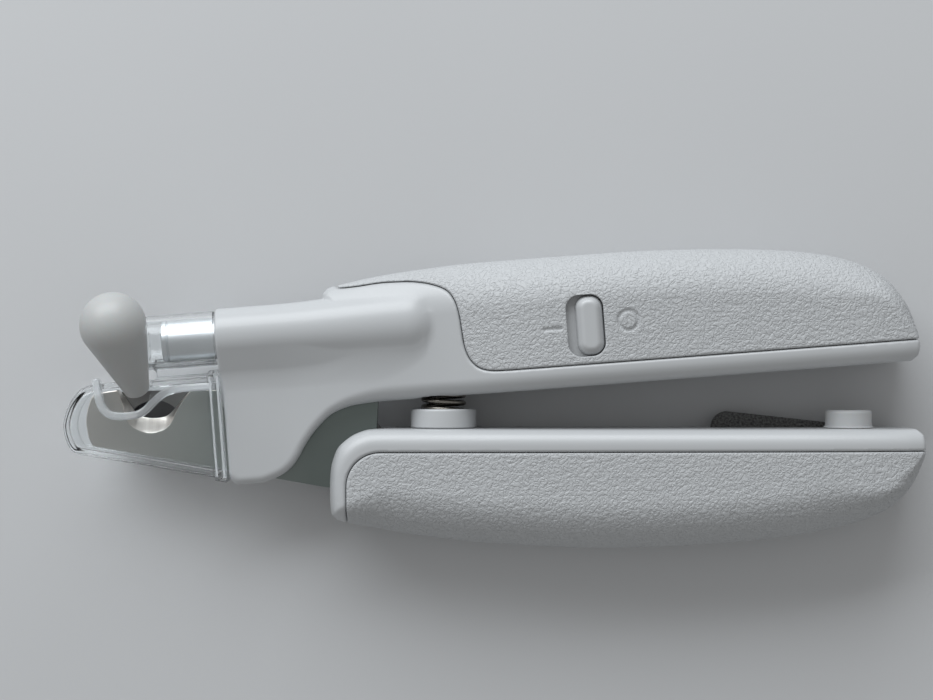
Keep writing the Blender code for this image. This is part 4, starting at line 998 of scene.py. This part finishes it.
def add_wrinkles(made, scale):
    """Fine worm-like wrinkles: valleys along the middle level of a noise texture."""
    level = add_node(made, "Math", {0: add_noise(made, scale, 1.5), 1: 0.5}, operation="SUBTRACT")
    fold = add_node(made, "Math", {0: level.outputs[0]}, operation="ABSOLUTE")
    return add_node(made, "MapRange", {"Value": fold.outputs[0], "From Max": 0.1}).outputs["Result"]


def add_bump(made, source, strength, distance):
    bump = add_node(made, "Bump", {"Height": source, "Strength": strength, "Distance": distance})
    feed(made, "Normal", bump.outputs["Normal"])


def vary_roughness(made, source, low, high):
    """Roughness that follows a texture between two values."""
    spread = add_node(made, "MapRange", {"Value": source, "To Min": low, "To Max": high})
    feed(made, "Roughness", spread.outputs["Result"])


def vary_colour(made, source, dark, light):
    """Base colour that follows a texture between two colours."""
    ramp = add_node(made, "ValToRGB", {"Fac": source})
    for element, position, colour in zip(ramp.color_ramp.elements, (0.3, 0.7), (dark, light)):
        element.position = position
        element.color = (*colour, 1.0)
    feed(made, "Base Color", ramp.outputs["Color"])


def white_plastic():
    made = material("white_plastic", (0.49, 0.5, 0.51), 0.34, Coat_Weight=0.15, Coat_Roughness=0.2)
    add_bump(made, add_noise(made, 900.0), 0.12, 0.00005)
    vary_roughness(made, add_noise(made, 60.0), 0.3, 0.42)
    vary_colour(made, add_noise(made, 25.0), (0.485, 0.495, 0.505), (0.5, 0.51, 0.52))
    return made


def grip_plastic():
    made = material("grained_plastic", (0.48, 0.49, 0.5), 0.5)
    add_bump(made, add_wrinkles(made, 1200.0), 0.7, 0.00012)
    vary_roughness(made, add_noise(made, 200.0), 0.44, 0.58)
    vary_colour(made, add_noise(made, 25.0), (0.47, 0.48, 0.49), (0.485, 0.495, 0.505))
    return made


def soft_rubber():
    made = material("soft_rubber", (0.5, 0.5, 0.505), 0.5, Subsurface_Weight=0.05)
    add_bump(made, add_noise(made, 1200.0), 0.1, 0.00005)
    vary_colour(made, add_noise(made, 80.0), (0.49, 0.49, 0.495), (0.51, 0.51, 0.515))
    return made


def plug_rubber():
    made = material("plug_silicone", (0.5, 0.505, 0.5), 0.4, Subsurface_Weight=0.08,
                    Subsurface_Scale=0.002)
    add_bump(made, add_noise(made, 700.0), 0.08, 0.00005)
    vary_colour(made, add_noise(made, 120.0), (0.43, 0.435, 0.43), (0.46, 0.465, 0.46))
    return made


def satin_steel(name, colour, low, high, stretch, dark=0.8):
    """Rolled or ground steel with fine marks along one direction."""
    made = material(name, colour, (low + high) / 2, 1.0)
    marks = add_noise(made, 500.0, 6.0, stretch)
    vary_roughness(made, marks, low, high)
    add_bump(made, marks, 0.12, 0.00003)
    vary_colour(made, add_noise(made, 90.0, 3.0), [c * dark for c in colour], colour)
    return made


def blade_steel_with_painted_light():
    """The front blade's steel with a bright cross-ground bevel; painted reflection makes the plate paler
    towards the tip and painted shade makes it darker past the collar.
    """
    made = satin_steel("blade_steel", (0.36, 0.39, 0.375), 0.25, 0.4, (0.15, 1.0, 1.0))
    place = add_node(made, "TexCoord", {})

    def share(output, axis, low, high):
        """0 to 1 between two values of a coordinate."""
        part = add_node(made, "SeparateXYZ", {"Vector": place.outputs[output]}).outputs[axis]
        found = add_node(made, "MapRange", {"Value": part, "From Min": low, "From Max": high})
        return found.outputs["Result"]

    def mix(amount, under, over, kind="MIX"):
        mixed = add_node(made, "MixRGB", {"Fac": amount, "Color1": under, "Color2": over},
                         blend_type=kind)
        return mixed.outputs["Color"]

    marks = add_noise(made, 1800.0, 3.0, (1.0, 0.06, 0.06))
    bevel = mix(marks, (0.62, 0.57, 0.53, 1.0), (1.0, 0.96, 0.9, 1.0))
    where = mix(1.0, share("Normal", "Z", 0.985, 0.93), share("Object", "Y", -0.0078, -0.0068),
                "MULTIPLY")
    where = mix(1.0, where, share("Object", "X", -0.05, -0.053), "MULTIPLY")
    principled = made.node_tree.nodes["Principled BSDF"]
    plate = principled.inputs["Base Color"].links[0].from_socket
    # painted reflection: the plate paler towards the tip
    plate = mix(share("Object", "X", -0.052, -0.074), plate, (0.52, 0.51, 0.49, 1.0))
    # painted shade: the plate darker past the collar, between the handles
    plate = mix(share("Object", "X", -0.048, -0.034), plate, (0.19, 0.22, 0.21, 1.0))
    feed(made, "Base Color", mix(where, plate, bevel))
    return made


def let_lamps_through(made, share):
    """Clear pieces throw only a faint shadow."""
    nodes = made.node_tree.nodes
    ray = add_node(made, "LightPath", {})
    through = add_node(made, "BsdfTransparent", {"Color": (share, share, share, 1.0)})
    mixed = add_node(made, "MixShader", {"Fac": ray.outputs["Is Shadow Ray"],
                                         1: nodes["Principled BSDF"].outputs["BSDF"],
                                         2: through.outputs["BSDF"]})
    made.node_tree.links.new(mixed.outputs["Shader"], nodes["Material Output"].inputs["Surface"])
    return made


def clear_plastic():
    made = material("clear_plastic", (0.97, 0.985, 0.99), 0.04, Transmission_Weight=1.0, IOR=1.4)
    add_bump(made, add_noise(made, 120.0, 2.0), 0.02, 0.0001)
    return let_lamps_through(made, 0.93)


def clear_rim_painted_highlight():
    """Clear edges with a whitish share: a painted highlight where the cover's rounded clear edges catch the
    light.
    """
    made = material("clear_rim_painted_highlight", (0.95, 0.97, 0.99), 0.18, Transmission_Weight=0.7, IOR=1.42)
    add_bump(made, add_noise(made, 400.0, 2.0), 0.1, 0.0001)
    return let_lamps_through(made, 0.85)


def dark_abrasive():
    made = material("abrasive_grit", (0.05, 0.05, 0.05), 0.7)
    grit = add_noise(made, 2500.0, 2.0)
    vary_colour(made, grit, (0.045, 0.045, 0.044), (0.19, 0.19, 0.185))
    add_bump(made, grit, 0.9, 0.0003)
    return made


def plain(name, colour, roughness, metallic=0.0, **inputs):
    """A piece inside the clipper: one colour with a slight variation."""
    made = material(name, colour, roughness, metallic, **inputs)
    vary_colour(made, add_noise(made, 200.0), [c * 0.85 for c in colour], colour)
    return made


def pale_table():
    made = material("pale_table", (0.5, 0.5, 0.5), 0.4)
    vary_colour(made, add_noise(made, 6.0, 3.0), (0.57, 0.575, 0.585), (0.595, 0.60, 0.61))
    add_bump(made, add_noise(made, 300.0), 0.05, 0.0001)
    return made


# ---- stage ----
CAMERA_MM = (-5.22, 9.05, 410.0)
LENS_MM, SENSOR_MM = 82.7, 36.0
WINDOW_PLACE, WINDOW_SIZE = (-0.24, 0.71, 0.42), (1.1, 0.6)      # metres


def camera():
    data = bpy.data.cameras.new("camera")
    data.lens = LENS_MM
    data.sensor_width = SENSOR_MM
    data.clip_start = 0.01
    made = place_object("camera", data)
    made.location = Vector(CAMERA_MM) * MM
    bpy.context.scene.camera = made


def floor():
    """The table, just under the clipper."""
    size, height = 1600.0, CAD_BOX[0][2] / MM - 0.02
    made = add_object("table", [(x * size, y * size, height) for x, y in
                                ((-1, -1), (1, -1), (1, 1), (-1, 1))], [(0, 1, 2, 3)])
    made.data.materials.append(pale_table())


def light():
    """A pale room, and one wide window up and behind the clipper."""
    world = bpy.data.worlds.new("room")
    bpy.context.scene.world = world
    world.use_nodes = True
    background = world.node_tree.nodes["Background"]
    background.inputs["Color"].default_value = (0.8, 0.81, 0.81, 1.0)
    background.inputs["Strength"].default_value = 0.45
    window = bpy.data.lights.new("window", "AREA")
    window.shape = "RECTANGLE"
    window.size, window.size_y = WINDOW_SIZE
    window.energy = 9.2
    window.color = (0.93, 0.97, 1.0)
    made = place_object("window", window)
    made.location = WINDOW_PLACE
    made.rotation_euler = (-Vector(WINDOW_PLACE)).to_track_quat("-Z", "Y").to_euler()


# ---- assembly ----
def finish_piece(piece, body, made_of, slot, *nodes):
    """Material, body and the CAD nodes a new piece stands for; the finish slot is not used."""
    piece.data.materials.clear()
    piece.data.materials.append(made_of)
    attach(piece, body)
    if nodes:
        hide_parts(*nodes)


def paint(nodes, made_of):
    """Give CAD nodes that stay in view their finished material."""
    for node in nodes:
        mesh_object = frame["nodes"][node]
        mesh_object.data.materials.clear()
        mesh_object.data.materials.append(made_of)


def main():
    plastic, grained, clear = white_plastic(), grip_plastic(), clear_plastic()
    wire = satin_steel("spring_wire", (0.3, 0.28, 0.25), 0.2, 0.35, (1.0, 1.0, 1.0))
    plated = satin_steel("plated_tube", (0.72, 0.74, 0.76), 0.3, 0.38, (0.3, 1.0, 1.0), 0.95)

    finishes = (
        ("body", plastic, "shell", body_shells()),
        ("body", grained, "grip", body_grips() + [battery_door()]),
        ("lever", plastic, "shell", lever_shells()),
        ("lever", grained, "grip", lever_grips()),
        ("switch_button", plastic, "shell", [switch_knob()]),
        ("lever", plastic, "shell", [spring_seat()]),
        ("lever", soft_rubber(), "bumper", [stop_bumper()]),
        ("body", blade_steel_with_painted_light(), "blade_steel", [fixed_blade()]),
        ("file", dark_abrasive(), "abrasive", [nail_file()]),
        ("body", plated, "light_barrel", [led_barrel()]),
        ("cover", clear, "clear_cover", [blade_cover()]))
    for body, finish, slot, pieces in finishes:
        for piece in pieces:
            finish_piece(piece, body, finish, slot, piece.name.removesuffix("_fine"))
    # the rim and its ribs carry painted highlight in their whitish finish
    finish_piece(mouth_rim(), "cover", clear_rim_painted_highlight(), "clear_cover")
    finish_piece(nail_plug(), "plug", plug_rubber(), "plug", "nail_plug")
    spring = return_spring()
    finish_piece(spring, "lever", wire, "spring_steel", "return_spring")
    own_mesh(spring)

    screws = ["pivot_rivet", "battery_door_screw"] + [f"body_screw_{i}" for i in (1, 2, 3)]
    screws += [f"lever_screw_{i}" for i in (1, 2)]
    pins = [f"{owner}_blade_pin_{i}" for owner in ("body", "lever") for i in (1, 2)]
    cells = [f"battery_cell_{i}" for i in (1, 2, 3)] + ["battery_contact_front", "battery_contact_rear"]
    paint(["moving_blade"],
          satin_steel("rear_blade_steel", (0.22, 0.22, 0.215), 0.3, 0.45, (0.15, 1.0, 1.0)))
    paint(screws + pins,
          satin_steel("hardware_steel", (0.55, 0.56, 0.57), 0.2, 0.35, (1.0, 1.0, 0.3)))
    # the guard plate's near-black tone is mostly painted shade: the dark seen behind the nail opening
    paint(["nail_guard"], satin_steel("guard_steel", (0.07, 0.07, 0.075), 0.3, 0.5, (1.0, 0.3, 1.0)))
    paint(["led_lens", "led"], clear)
    paint(["circuit_board"], plain("board", (0.04, 0.2, 0.09), 0.45))
    paint(["slide_switch"], plain("switch_case", (0.03, 0.03, 0.03), 0.5))
    paint(cells, plain("nickel", (0.62, 0.63, 0.64), 0.25, 1.0))

    floor()
    light()
    camera()
    bpy.context.scene.view_settings.view_transform = "Standard"


main()
